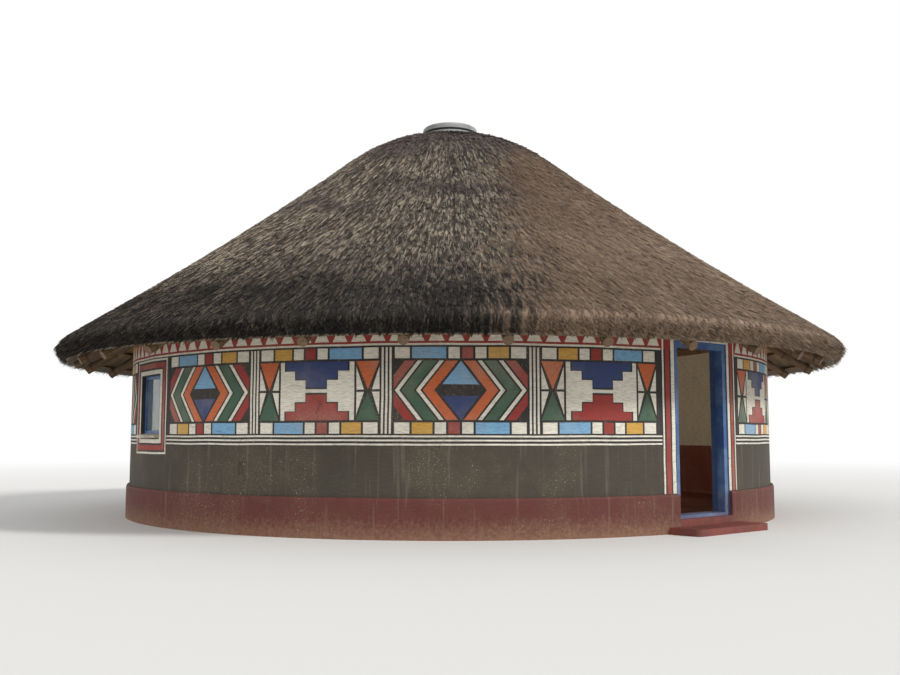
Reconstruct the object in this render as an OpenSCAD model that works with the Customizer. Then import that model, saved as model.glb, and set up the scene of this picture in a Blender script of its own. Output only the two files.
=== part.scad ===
// Round thatched hut: a plastered masonry wall on a raised floor, with a cone of
// gum poles, lath rings and thatch that ends in a cement cap.
// Millimetres. +Z is up, z = 0 is the ground, the Z axis is the middle of the hut,
// and the doorway faces -Y.

/* [Wall] */
// Radius of the wall's outer face
wall_r = 4450; // [3700:10:4700]
// Thickness of the plastered wall
wall_t = 230; // [180:10:320]
// Height of the wall's top over the ground
wall_h = 2365; // [2250:5:3000]
// Height of the thickened base course
plinth_h = 420; // [200:10:600]
// How far the base course stands out from the wall
plinth_out = 40; // [20:5:80]

/* [Floor] */
// Height of the floor over the ground
floor_h = 150; // [80:10:300]
// Depth of the doorstep, from the base course outwards
step_d = 340; // [250:10:450]
// How far the doorstep runs past the doorway on each side
step_side = 170; // [50:10:300]
// Height of the doorstep
step_h = 75; // [50:5:120]

/* [Doorway] */
// Width of the gap in the wall
door_w = 960; // [800:10:1200]
// Height of the gap over the floor
door_h = 1950; // [1800:10:2100]
// Face width of the frame's timbers
door_timber_w = 65; // [45:5:90]
// Depth of the frame's timbers into the wall
door_timber_d = 110; // [80:5:150]
// How far the frame stands in from the wall's face
door_set = 35; // [20:5:60]
// Height of the timber sill
door_sill_h = 35; // [20:5:50]
// How deep the rebate for a door is cut into the timbers' faces
door_rebate = 12; // [8:1:20]
// How far that rebate runs in from the timbers' inner side
door_rebate_d = 44; // [35:1:60]

/* [Windows] */
// Angle of each window from the doorway, in degrees
window_turn = 95; // [80:1:120]
// Width of the gap in the wall
window_w = 660; // [500:10:900]
// Height of the gap
window_h = 700; // [500:10:900]
// Height of the gap's lower edge over the ground
window_z = 1080; // [900:10:1300]
// Face width of the window's timbers
window_timber_w = 48; // [35:1:70]
// Depth of the window's timbers into the wall
window_timber_d = 75; // [50:5:100]
// How far the window stands in from the wall's face
window_set = 60; // [40:5:90]
// Thickness of the glass
glass_t = 5; // [4:1:8]
// How deep the glass's rebate is cut into the timbers' faces
glass_rebate = 12; // [8:1:18]
// How far the glass lies in from the timbers' outer side
glass_in = 22; // [12:1:35]
// Gap between the edge of the glass and its rebate
glass_gap = 2; // [1:1:5]
// How far the window sill stands out from the wall
sill_out = 45; // [20:5:80]
// Height of the window sill at the wall's face
sill_h = 50; // [30:5:80]

/* [Roof poles] */
// Slope of the roof poles in degrees
pitch = 33; // [28:0.5:40]
// Diameter of the rafter poles
rafter_d = 110; // [90:1:132]
// Number of rafters that reach the apex
main_count = 8; // [6:1:10]
// Gap between the main rafters where they meet the post at the apex
apex_gap = 5; // [2:1:20]
// Length of that post
king_l = 520; // [420:10:700]
// Gap between a main rafter and the top end of the long pole beside it
second_gap = 93; // [40:1:200]
// Gap between a long pole and the top end of the short pole beside it
jack_gap = 185; // [80:5:400]
// How far the pole ends stay back from the thatch's lower edge
rafter_back = 110; // [60:5:200]
// How deep the poles are notched over the wall plate
notch = 30; // [15:5:40]
// Width of the wall plate's beams
plate_w = 114; // [90:2:126]
// How far the poles pass over the wall's outer edge
plate_clear = 5; // [2:1:30]
// Diameter of the lath rings
lath_d = 32; // [25:1:40]
// Distance between lath rings, along the slope
lath_gap = 345; // [280:5:400]

/* [Thatch] */
// Radius of the thatch's outer edge
eave_r = 5400; // [5000:10:6500]
// Thickness of the thatch at the eave, square to the slope
coat_t = 220; // [180:5:300]
// Thickness of the neat first layer that shows from inside
underlayer_t = 20; // [12:1:30]
// How much steeper than the poles the thatch's face is, from eave to shoulder, in degrees
thicken = 2.5; // [1:0.5:4]
// How deep that slope is hollowed between eave and shoulder, upright
hollow = 80; // [0:5:110]
// Radius at which the thatch starts to round over towards the cap
shoulder_r = 1600; // [1200:10:2200]
// Slope of the thatch where it meets the cap, in degrees
top_pitch = 3.5; // [1:0.5:12]
// Least thickness of the thatch over the apex
top_cover = 65; // [50:5:150]
// Number of courses between eave and cap
course_count = 11; // [8:1:14]
// Number of those courses in the lower coat, over the eave course
lower_count = 4; // [2:1:5]
// How far the butts of each course stand over the one below, upright
course_step = 10; // [6:1:20]
// Radius of the rounding at the eave's upper edge
eave_round = 70; // [30:5:100]

/* [Cap] */
// Radius of the cement apron that the cap stands on
apron_r = 440; // [400:10:500]
// Thickness of the apron
apron_t = 40; // [20:1:50]
// Thickness of each layer of dark roofing felt
felt_t = 30; // [10:1:40]
// How far the felt stays back from the band above or below it
felt_back = 26; // [10:1:40]
// Radius of the cement band between the felts
band_r = 395; // [340:5:420]
// Thickness of that band
band_t = 50; // [35:1:60]
// Radius of the cement cap
cap_r = 405; // [350:5:430]
// Thickness of the cement cap
cap_t = 80; // [60:5:120]
// How far the middle of the cap stands over its rounded edge
cap_rise = 25; // [10:1:60]

/* [Hidden] */
$fn = 96;

// Gap between pieces that rest on each other along curved faces
seat_gap = 0.3;
// Wall segments on each side: degrees from the doorway where one ends and the next starts
front_end = window_turn / 2;
back_start = (window_turn + 180) / 2;
wall_in_r = wall_r - wall_t;
// Every cut runs this far past what it cuts
over = 60;

step_w = door_w + 2 * step_side;

// Wall plate: straight beams laid end to end round the wall's top
beam_count = 2 * main_count;
beam_turn = 360 / beam_count;
beam_joint = 4;
plate_t = notch + wall_t / 2 * tan(pitch) + plate_clear;
plate_mid_r = wall_r - wall_t / 2;
plate_top = wall_h + plate_t;

// The roof is set out from the cone that the rafters' middle lines lie on
axis_top = plate_top - notch + plate_mid_r * tan(pitch) + rafter_d / 2 / cos(pitch);
lath_lift = rafter_d / 2 + seat_gap + lath_d / 2;
underlayer_lift = rafter_d / 2 + lath_d + 2 * seat_gap;
coat_lift = underlayer_lift + underlayer_t;
coat_in_r = eave_r - coat_t * sin(pitch);
underlayer_in_r = coat_in_r - underlayer_t * sin(pitch);
rafter_end_r = coat_in_r - rafter_back;
course_w = (eave_r - apron_r) / course_count;
first_course_r = eave_r - course_w;
top_course_r = apron_r + course_w;

// The poles' top ends: radii at which they have room beside each other
king_d = (rafter_d + apex_gap) / sin(180 / main_count);
second_start_r = (rafter_d + second_gap) / 2 / sin(90 / main_count);
jack_start_r = (rafter_d + jack_gap) / 2 / sin(45 / main_count);

// Height at radius r of the cone that lies lift above the rafters' middle lines, square to the slope
function cone_z(r, lift) = axis_top - r * tan(pitch) + lift / cos(pitch);

// The thatch's outer face: hollowed a little up to the shoulder, then rounded over
thatch_pitch = pitch + thicken;
eave_z = cone_z(coat_in_r, coat_lift) + coat_t * cos(pitch);
shoulder_z = eave_z + (eave_r - shoulder_r) * tan(thatch_pitch);
shoulder_slope = tan(thatch_pitch) + 4 * hollow / (eave_r - shoulder_r);
rounding = (shoulder_slope - tan(top_pitch)) / (shoulder_r - apron_r);
function slope_z(r, t) = eave_z + (eave_r - r) * tan(thatch_pitch) - 4 * hollow * t * (1 - t);
function round_z(d) = shoulder_z + d * shoulder_slope - d * d * rounding / 2;
function thatch_z(r) = r > shoulder_r
    ? slope_z(r, (eave_r - r) / (eave_r - shoulder_r))
    : round_z(shoulder_r - r);
// Outline of courses first to last, each thickest at its butts and tucked under the next
function course_points(first, last) = [
    for (k = [first : last], j = [0 : 3])
        let (r = eave_r - (k + j / 3) * course_w)
            [r, thatch_z(r) + course_step * (1 - j / 3)]
];
// Rounded upper edge of the eave, which is cut square to the poles' slope
function eave_points(steps) = [
    for (k = [0 : steps])
        let (a = 90 * k / steps,
             c = [eave_r - eave_round * (cos(pitch) + sin(pitch)),
                  eave_z + eave_round * (sin(pitch) - cos(pitch))])
            c + eave_round * [cos(a) * cos(pitch) + sin(a) * sin(pitch),
                              sin(a) * cos(pitch) - cos(a) * sin(pitch)]
];
// Height of the cap's seat on the thatch
cap_seat = thatch_z(apron_r);

// The cone's inner apex is cut off flat over the post, with enough thatch left above
flat_z = min(cone_z(king_d / 2 + 30, underlayer_lift), cap_seat - top_cover - underlayer_t);
flat_r = (cone_z(0, underlayer_lift) - flat_z) / tan(pitch);
flat_top_r = (cone_z(0, coat_lift) - flat_z - underlayer_t) / tan(pitch);
king_top = flat_z - seat_gap;

// Lath rings, from just outside the flat to just inside the poles' ends
lath_start_r = flat_r + 150;
lath_run = (rafter_end_r - lath_d - lath_start_r) / cos(pitch);
lath_count = floor(lath_run / lath_gap);

// Turns what is modelled facing the doorway to another side of the hut
module turned(degrees) {
    rotate([0, 0, degrees]) children();
}

// Part of a ring about the middle of the hut, from one angle off the doorway to another
module arc(start, end) {
    rotate([0, 0, start - 90]) rotate_extrude(angle = end - start, $fn = 360) children();
}

// Upright section of the wall with its thickened base course
module wall_section() {
    polygon([
        [wall_in_r, 0], [wall_r + plinth_out, 0], [wall_r + plinth_out, plinth_h - 25],
        [wall_r + plinth_out - 12, plinth_h], [wall_r, plinth_h], [wall_r, wall_h], [wall_in_r, wall_h]
    ]);
}

// Block that fills an opening in the wall on the doorway's side, from one height to another
module opening_block(width, low, high) {
    translate([-width / 2, -wall_r - plinth_out - over, low])
        cube([width, wall_t + plinth_out + 4 * over, high - low]);
}

module doorway() {
    opening_block(door_w, -over, wall_h + over);
}

module window_gap() {
    opening_block(window_w, -over, wall_h + over);
}

module wall_segment(start, end) {
    color("#3b2a22")
        difference() {
            arc(start, end) wall_section();
            doorway();
            for (side = [-1, 1]) turned(side * window_turn) window_gap();
        }
}

// The wall's own ring between two heights, as wide as an opening
module wall_across(width, low, high, turn) {
    half_angle = asin(width / 2 / wall_in_r) + 1;
    color("#3b2a22")
        turned(turn)
            intersection() {
                arc(-half_angle, half_angle) wall_section();
                opening_block(width, low, high);
            }
}

module wall_over_window(turn) {
    wall_across(window_w, window_z + window_h, wall_h, turn);
}

module wall_under_window(turn) {
    wall_across(window_w, 0, window_z - sill_h, turn);
}

module floor_slab() {
    color("#6b3a2e")
        cylinder(r = wall_in_r - seat_gap, h = floor_h, $fn = 360);
}

// Step of red cement, scribed to the round of the base course
module doorstep() {
    corner = 60;
    front = wall_r + plinth_out + step_d;
    color("#5a2018")
        difference() {
            union() {
                translate([-step_w / 2, -front + corner, 0])
                    cube([step_w, step_d + 3 * over - corner, step_h]);
                translate([-step_w / 2 + corner, -front, 0])
                    cube([step_w - 2 * corner, corner, step_h]);
                for (side = [-1, 1])
                    translate([side * (step_w / 2 - corner), -front + corner, 0])
                        cylinder(r = corner, h = step_h, $fn = 48);
            }
            translate([0, 0, -over])
                cylinder(r = wall_r + plinth_out + seat_gap, h = step_h + 2 * over, $fn = 360);
        }
}

// Room that a shut door would take up in the frame's rebate
module door_room() {
    half = door_w / 2 - door_timber_w + door_rebate;
    low = floor_h + door_sill_h;
    translate([-half, -wall_r + door_set + door_timber_d - door_rebate_d, low])
        cube([2 * half, door_rebate_d + over, floor_h + door_h - door_timber_w + door_rebate - low]);
}

module door_timber(x, z, width, height) {
    color("#1d3f73")
        difference() {
            translate([x, -wall_r + door_set, z]) cube([width, door_timber_d, height]);
            door_room();
        }
}

module door_sill() {
    depth = wall_t - door_set;
    color("#1d3f73")
        difference() {
            translate([-door_w / 2, -wall_r + door_set, floor_h]) cube([door_w, depth, door_sill_h]);
            translate([0, 0, floor_h - over]) cylinder(r = wall_in_r, h = door_sill_h + 2 * over, $fn = 360);
        }
}

module door_jamb(side) {
    low = floor_h + door_sill_h;
    door_timber(side > 0 ? door_w / 2 - door_timber_w : -door_w / 2, low,
                door_timber_w, door_h - door_sill_h - door_timber_w);
}

module door_head() {
    door_timber(-door_w / 2, floor_h + door_h - door_timber_w, door_w, door_timber_w);
}

// Upright block in a window's gap that leaves this margin free all round, between two depths in the frame
module window_block(margin, start, end) {
    translate([-window_w / 2 + margin, -wall_r + window_set + start, window_z + margin])
        cube([window_w - 2 * margin, end - start, window_h - 2 * margin]);
}

module window_frame() {
    color("#1d3f73")
        difference() {
            window_block(0, 0, window_timber_d);
            window_block(window_timber_w, -over, window_timber_d + over);
            window_block(window_timber_w - glass_rebate, -over, glass_in + glass_t);
        }
}

module window_glass() {
    color([0.55, 0.65, 0.7, 0.4])
        window_block(window_timber_w - glass_rebate + glass_gap, glass_in, glass_in + glass_t);
}

// Cement sill under a window, sloped outside and flush with the wall inside
module window_sill() {
    low = window_z - sill_h;
    fall = 18;
    color("#d8d2c4")
        difference() {
            translate([window_w / 2, 0, 0])
                rotate([0, -90, 0])
                    linear_extrude(height = window_w)
                        polygon([
                            [low, -wall_r - sill_out], [low, -wall_in_r + over],
                            [window_z, -wall_in_r + over], [window_z, -wall_r + window_set],
                            [window_z - fall, -wall_r - sill_out]
                        ]);
            translate([0, 0, low - over]) cylinder(r = wall_in_r, h = sill_h + 2 * over, $fn = 360);
        }
}

// One beam of the wall plate, as long as its share of the ring
module beam(swell = 0) {
    half = beam_turn / 2;
    inner = plate_mid_r * (1 + cos(half)) / 2 - plate_w / 2 - swell;
    outer = inner + plate_w + 2 * swell;
    trim = (beam_joint / 2 - swell) / cos(half);
    color("#7a5a3c")
        translate([0, 0, wall_h])
            linear_extrude(height = plate_t)
                polygon([
                    [-inner * tan(half) + trim, -inner], [inner * tan(half) - trim, -inner],
                    [outer * tan(half) - trim, -outer], [-outer * tan(half) + trim, -outer]
                ]);
}

module wall_plate() {
    for (k = [0 : beam_count - 1]) turned((k + 0.25) * beam_turn) beam();
}

module king_post() {
    taper = 90;
    low = king_top - king_l;
    color("#6e543a")
        union() {
            translate([0, 0, low + taper]) cylinder(d = king_d, h = king_l - taper);
            translate([0, 0, low]) cylinder(d1 = king_d / 2, d2 = king_d, h = taper);
        }
}

// Round pole down the slope towards the doorway, from one radius to another
module pole(start_r, end_r) {
    translate([0, -start_r, cone_z(start_r, 0)])
        rotate([90 + pitch, 0, 0])
            cylinder(d = rafter_d, h = (end_r - start_r) / cos(pitch));
}

// A pole notched over the beam that it crosses; offset is that beam's angle from it
module rafter(start_r, offset) {
    color("#7b6248")
        difference() {
            pole(start_r, rafter_end_r);
            turned(offset) beam(seat_gap);
            translate([0, 0, king_top - king_l - over])
                cylinder(r = king_d / 2 + seat_gap, h = king_l + 4 * over);
            translate([0, 0, king_top]) cylinder(r = flat_r + over, h = rafter_d);
        }
}

module main_rafters() {
    for (k = [0 : main_count - 1]) turned(k * 360 / main_count) rafter(king_d / 4, beam_turn / 4);
}

module second_rafters() {
    for (k = [0 : main_count - 1]) turned((k + 0.5) * 360 / main_count) rafter(second_start_r, beam_turn / 4);
}

module jack_rafters() {
    for (k = [0 : 2 * main_count - 1]) turned((k + 0.5) * beam_turn) rafter(jack_start_r, -beam_turn / 4);
}

// Rings of bent laths, hewn to eight sides, that lie flat on the rafters
module lath_rings() {
    color("#8a6d4a")
        for (k = [0 : lath_count]) {
            r = lath_start_r + k * lath_run / lath_count * cos(pitch);
            translate([0, 0, cone_z(r, lath_lift)])
                rotate_extrude($fn = 180)
                    translate([r, 0]) rotate(22.5 - pitch) circle(d = lath_d / cos(22.5), $fn = 8);
        }
}

module thatch_underlayer() {
    color("#a58a5c")
        rotate_extrude($fn = 360)
            polygon([
                [0, flat_z], [0, flat_z + underlayer_t], [flat_top_r, flat_z + underlayer_t],
                [coat_in_r, cone_z(coat_in_r, coat_lift)],
                [underlayer_in_r, cone_z(underlayer_in_r, underlayer_lift)], [flat_r, flat_z]
            ]);
}

module thatch_eave_course() {
    color("#76695a")
        rotate_extrude($fn = 360)
            polygon(concat(
                [[first_course_r, cone_z(first_course_r, coat_lift)],
                 [coat_in_r, cone_z(coat_in_r, coat_lift)]],
                eave_points(6),
                [for (j = [1 : 3]) let (r = eave_r - j / 3 * course_w) [r, thatch_z(r)]]
            ));
}

// Ring of the coat that holds courses first to last
module thatch_courses(first, last) {
    outer = eave_r - first * course_w;
    inner = eave_r - (last + 1) * course_w;
    rotate_extrude($fn = 360)
        polygon(concat(
            [[inner, cone_z(inner, coat_lift)], [outer, cone_z(outer, coat_lift)]],
            course_points(first, last)
        ));
}

module thatch_lower_coat() {
    color("#7d6f5f") thatch_courses(1, lower_count);
}

module thatch_upper_coat() {
    color("#75685b") thatch_courses(lower_count + 1, course_count - 2);
}

module thatch_top_course() {
    color("#6d6056")
        rotate_extrude($fn = 360)
            polygon(concat(
                [[0, flat_z + underlayer_t], [flat_top_r, flat_z + underlayer_t],
                 [top_course_r, cone_z(top_course_r, coat_lift)]],
                course_points(course_count - 1, course_count - 1),
                [[0, cap_seat]]
            ));
}

// Flat round layer of the cap, from one height over the thatch to the next
module cap_layer(radius, low, thickness) {
    translate([0, 0, cap_seat + low]) cylinder(r = radius, h = thickness, $fn = 180);
}

module cap_apron() {
    color("#8f8d88") cap_layer(apron_r, 0, apron_t);
}

module cap_lower_felt() {
    color("#26262a") cap_layer(band_r - felt_back, apron_t, felt_t);
}

module cap_band() {
    color("#9b9994") cap_layer(band_r, apron_t + felt_t, band_t);
}

module cap_upper_felt() {
    color("#26262a") cap_layer(band_r - felt_back, apron_t + felt_t + band_t, felt_t);
}

module cement_cap() {
    low = cap_seat + apron_t + 2 * felt_t + band_t;
    edge = 0.55 * cap_t;
    color("#a09e99")
        rotate_extrude($fn = 180)
            polygon(concat(
                [[0, low], [cap_r, low], [cap_r, low + cap_t - edge]],
                [for (k = [1 : 8]) let (a = 90 * k / 8)
                    [cap_r - edge * (1 - cos(a)), low + cap_t - edge * (1 - sin(a))]],
                [[cap_r / 2, low + cap_t + cap_rise * 0.8], [0, low + cap_t + cap_rise]]
            ));
}

floor_slab();
doorstep();
wall_segment(0, front_end);  // wall_front_right
wall_segment(front_end, window_turn);  // wall_right
wall_segment(window_turn, back_start);  // wall_rear_right
wall_segment(back_start, 180);  // wall_back_right
wall_segment(-front_end, 0);  // wall_front_left
wall_segment(-window_turn, -front_end);  // wall_left
wall_segment(-back_start, -window_turn);  // wall_rear_left
wall_segment(-180, -back_start);  // wall_back_left
wall_across(door_w, floor_h + door_h, wall_h, 0);  // wall_over_door
wall_over_window(window_turn);  // wall_over_window_right
wall_over_window(-window_turn);  // wall_over_window_left
wall_under_window(window_turn);  // wall_under_window_right
wall_under_window(-window_turn);  // wall_under_window_left
wall_across(door_w, 0, floor_h, 0);  // wall_under_door
door_sill();
door_jamb(1);  // door_jamb_right
door_jamb(-1);  // door_jamb_left
door_head();
turned(window_turn) window_frame();  // window_frame_right
turned(-window_turn) window_frame();  // window_frame_left
turned(window_turn) window_glass();  // window_glass_right
turned(-window_turn) window_glass();  // window_glass_left
turned(window_turn) window_sill();  // window_sill_right
turned(-window_turn) window_sill();  // window_sill_left
wall_plate();
king_post();
main_rafters();
second_rafters();
jack_rafters();
lath_rings();
thatch_underlayer();
thatch_eave_course();
thatch_lower_coat();
thatch_upper_coat();
thatch_top_course();
cap_apron();
cap_lower_felt();
cap_band();
cap_upper_felt();
cement_cap();
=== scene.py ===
"""Looks of a round thatched hut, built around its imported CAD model.

Metres, in the CAD frame: +Z is up, z = 0 is the ground, the Z axis is the middle of the hut and the doorway
faces -Y. An azimuth is measured about Z from the doorway's side towards +X.
"""

import logging
import math
import random
from collections.abc import Callable, Iterable
from dataclasses import dataclass, field
from enum import Enum
from typing import ClassVar

import bmesh
import bpy
from mathutils import Matrix, Vector, noise


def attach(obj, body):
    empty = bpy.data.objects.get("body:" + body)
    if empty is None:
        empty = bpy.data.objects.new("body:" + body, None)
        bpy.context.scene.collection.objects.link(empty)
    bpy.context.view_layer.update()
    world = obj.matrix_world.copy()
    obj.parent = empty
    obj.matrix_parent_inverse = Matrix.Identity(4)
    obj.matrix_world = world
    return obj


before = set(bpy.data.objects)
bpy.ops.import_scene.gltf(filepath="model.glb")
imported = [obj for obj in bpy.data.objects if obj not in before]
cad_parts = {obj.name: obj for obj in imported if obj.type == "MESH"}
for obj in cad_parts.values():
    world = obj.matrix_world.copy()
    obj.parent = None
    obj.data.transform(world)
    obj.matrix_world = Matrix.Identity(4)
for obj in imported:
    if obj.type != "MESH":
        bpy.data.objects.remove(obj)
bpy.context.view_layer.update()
LOG = logging.getLogger("hut")

Socket = bpy.types.NodeSocket
Colour = tuple[float, float, float]


def srgb(red: float, green: float, blue: float) -> Colour:
    """Turns a colour as a picture writes it, 0 to 255, into the linear one that shaders take.

    Args:
        red: Red part.
        green: Green part.
        blue: Blue part.

    Returns:
        The linear colour.
    """

    def linear(value: float) -> float:
        """Undoes the picture's curve for one part."""
        v = value / 255
        return v / 12.92 if v <= 0.04045 else ((v + 0.055) / 1.055) ** 2.4

    return linear(red), linear(green), linear(blue)


class Paint(Enum):
    """The wall painters' colours, each with its linear colour."""

    WHITE = srgb(226, 220, 204)
    BLACK = srgb(40, 38, 38)
    BRICK = srgb(150, 50, 42)
    ORANGE = srgb(196, 98, 52)
    OCHRE = srgb(206, 158, 68)
    GREEN = srgb(62, 92, 70)
    NAVY = srgb(46, 62, 108)
    SKY = srgb(120, 168, 202)


class Graph:
    """Adds nodes to a shader or geometry node tree and hands back their sockets."""

    def __init__(self, tree: bpy.types.NodeTree) -> None:
        """Starts on a tree.

        Args:
            tree: The tree that the nodes go into.
        """
        self.tree = tree
        self.column = 0

    def node(self, kind: str, **settings: object) -> bpy.types.Node:
        """Adds a node.

        Args:
            kind: Blender's name of the node type.
            **settings: Properties to set on it.

        Returns:
            The node.
        """
        made = self.tree.nodes.new(kind)
        made.location = (180 * (self.column // 6), -220 * (self.column % 6))
        self.column += 1
        for name, value in settings.items():
            setattr(made, name, value)
        return made

    def put(self, socket: Socket, value: object) -> None:
        """Links a socket to an input, or sets the input's own value.

        Args:
            socket: The input.
            value: A socket to link, or a plain value.
        """
        if isinstance(value, bpy.types.NodeSocket):
            self.tree.links.new(value, socket)
        elif isinstance(value, tuple) and socket.type == "RGBA" and len(value) == 3:
            socket.default_value = (*value, 1.0)
        else:
            socket.default_value = value

    def math(self, operation: str, a: object, b: object = 0.0, clamp: bool = False) -> Socket:
        """Adds a Math node.

        Args:
            operation: Its operation.
            a: First value or socket.
            b: Second value or socket.
            clamp: Whether the result stays between 0 and 1.

        Returns:
            Its result.
        """
        made = self.node("ShaderNodeMath", operation=operation, use_clamp=clamp)
        self.put(made.inputs[0], a)
        self.put(made.inputs[1], b)
        return made.outputs[0]

    def times(self, a: object, b: object) -> Socket:
        """Multiplies two values or sockets."""
        return self.math("MULTIPLY", a, b)

    def plus(self, a: object, b: object, clamp: bool = False) -> Socket:
        """Adds two values or sockets."""
        return self.math("ADD", a, b, clamp)

    def minus(self, a: object, b: object, clamp: bool = False) -> Socket:
        """Takes the second value or socket from the first."""
        return self.math("SUBTRACT", a, b, clamp)

    def sway(self, mask: Socket, reach: float) -> Socket:
        """Turns a mask around one half into a shift of up to half the reach either way."""
        return self.times(self.minus(mask, 0.5), reach)

    def length(self, x: Socket, y: Socket) -> Socket:
        """Gives the length of a flat vector."""
        return self.math("SQRT", self.plus(self.times(x, x), self.times(y, y)))

    def azimuth(self, x: Socket, y: Socket) -> Socket:
        """Gives the angle about Z from -Y towards +X."""
        return self.math("ARCTAN2", x, self.times(y, -1.0))

    def apart(self, vector: Socket) -> tuple[Socket, ...]:
        """Splits a vector.

        Args:
            vector: The vector.

        Returns:
            Its three parts.
        """
        made = self.node("ShaderNodeSeparateXYZ")
        self.put(made.inputs[0], vector)
        return tuple(made.outputs)

    def joined(self, *parts: object) -> Socket:
        """Joins values or sockets into a vector.

        Args:
            *parts: Its three parts.

        Returns:
            The vector.
        """
        made = self.node("ShaderNodeCombineXYZ")
        for socket, value in zip(made.inputs, parts):
            self.put(socket, value)
        return made.outputs[0]

    def mix(self, share: object, a: object, b: object, blend: str = "MIX") -> Socket:
        """Mixes two colours.

        Args:
            share: How much of the second one, 0 to 1.
            a: First colour or socket.
            b: Second colour or socket.
            blend: Blend type.

        Returns:
            The mixed colour.
        """
        made = self.node("ShaderNodeMix", data_type="RGBA", blend_type=blend)
        self.put(made.inputs["Factor"], share)
        self.put(made.inputs[6], a)
        self.put(made.inputs[7], b)
        return made.outputs[2]

    def tint(self, colour: Socket, other: object, mask: Socket, low: float, high: float,
             share: float) -> Socket:
        """Mixes another colour in where a mask is high.

        Args:
            colour: The colour so far.
            other: The other colour.
            mask: The mask.
            low: Its value where the other colour starts.
            high: Its value where the other colour is strongest.
            share: How strong the other colour gets, 0 to 1.

        Returns:
            The mixed colour.
        """
        return self.mix(self.times(self.span(mask, low, high), share), colour, other)

    def noise(self, vector: Socket, scale: object, detail: float = 3.0, rough: float = 0.55) -> Socket:
        """Adds a Noise texture.

        Args:
            vector: Coordinates.
            scale: Scale in waves per metre, or a socket.
            detail: Octaves.
            rough: Share that each octave keeps.

        Returns:
            Its value socket.
        """
        made = self.node("ShaderNodeTexNoise")
        self.put(made.inputs["Vector"], vector)
        self.put(made.inputs["Scale"], scale)
        self.put(made.inputs["Detail"], detail)
        self.put(made.inputs["Roughness"], rough)
        return made.outputs[0]

    def span(self, value: Socket, low: float, high: float, to_low: float = 0.0,
             to_high: float = 1.0) -> Socket:
        """Maps a range of values to another one, clamped and smooth.

        Args:
            value: The value.
            low: Value that becomes to_low.
            high: Value that becomes to_high.
            to_low: New low end.
            to_high: New high end.

        Returns:
            The mapped value.
        """
        made = self.node("ShaderNodeMapRange", interpolation_type="SMOOTHSTEP")
        for socket, number in zip(made.inputs[:5], (value, low, high, to_low, to_high)):
            self.put(socket, number)
        return made.outputs[0]

    def scaled(self, vector: Socket, scale: tuple[float, float, float]) -> Socket:
        """Stretches coordinates.

        Args:
            vector: Coordinates.
            scale: Factor on each axis.

        Returns:
            The stretched coordinates.
        """
        made = self.node("ShaderNodeVectorMath", operation="MULTIPLY")
        self.put(made.inputs[0], vector)
        self.put(made.inputs[1], scale)
        return made.outputs[0]

    def bump(self, height: Socket, strength: float, distance: float) -> Socket:
        """Adds a Bump node.

        Args:
            height: Height from 0 to 1.
            strength: Its strength.
            distance: Real height of the relief in metres.

        Returns:
            The bent normal.
        """
        made = self.node("ShaderNodeBump")
        made.inputs["Strength"].default_value = strength
        made.inputs["Distance"].default_value = distance
        self.put(made.inputs["Height"], height)
        return made.outputs[0]


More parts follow.
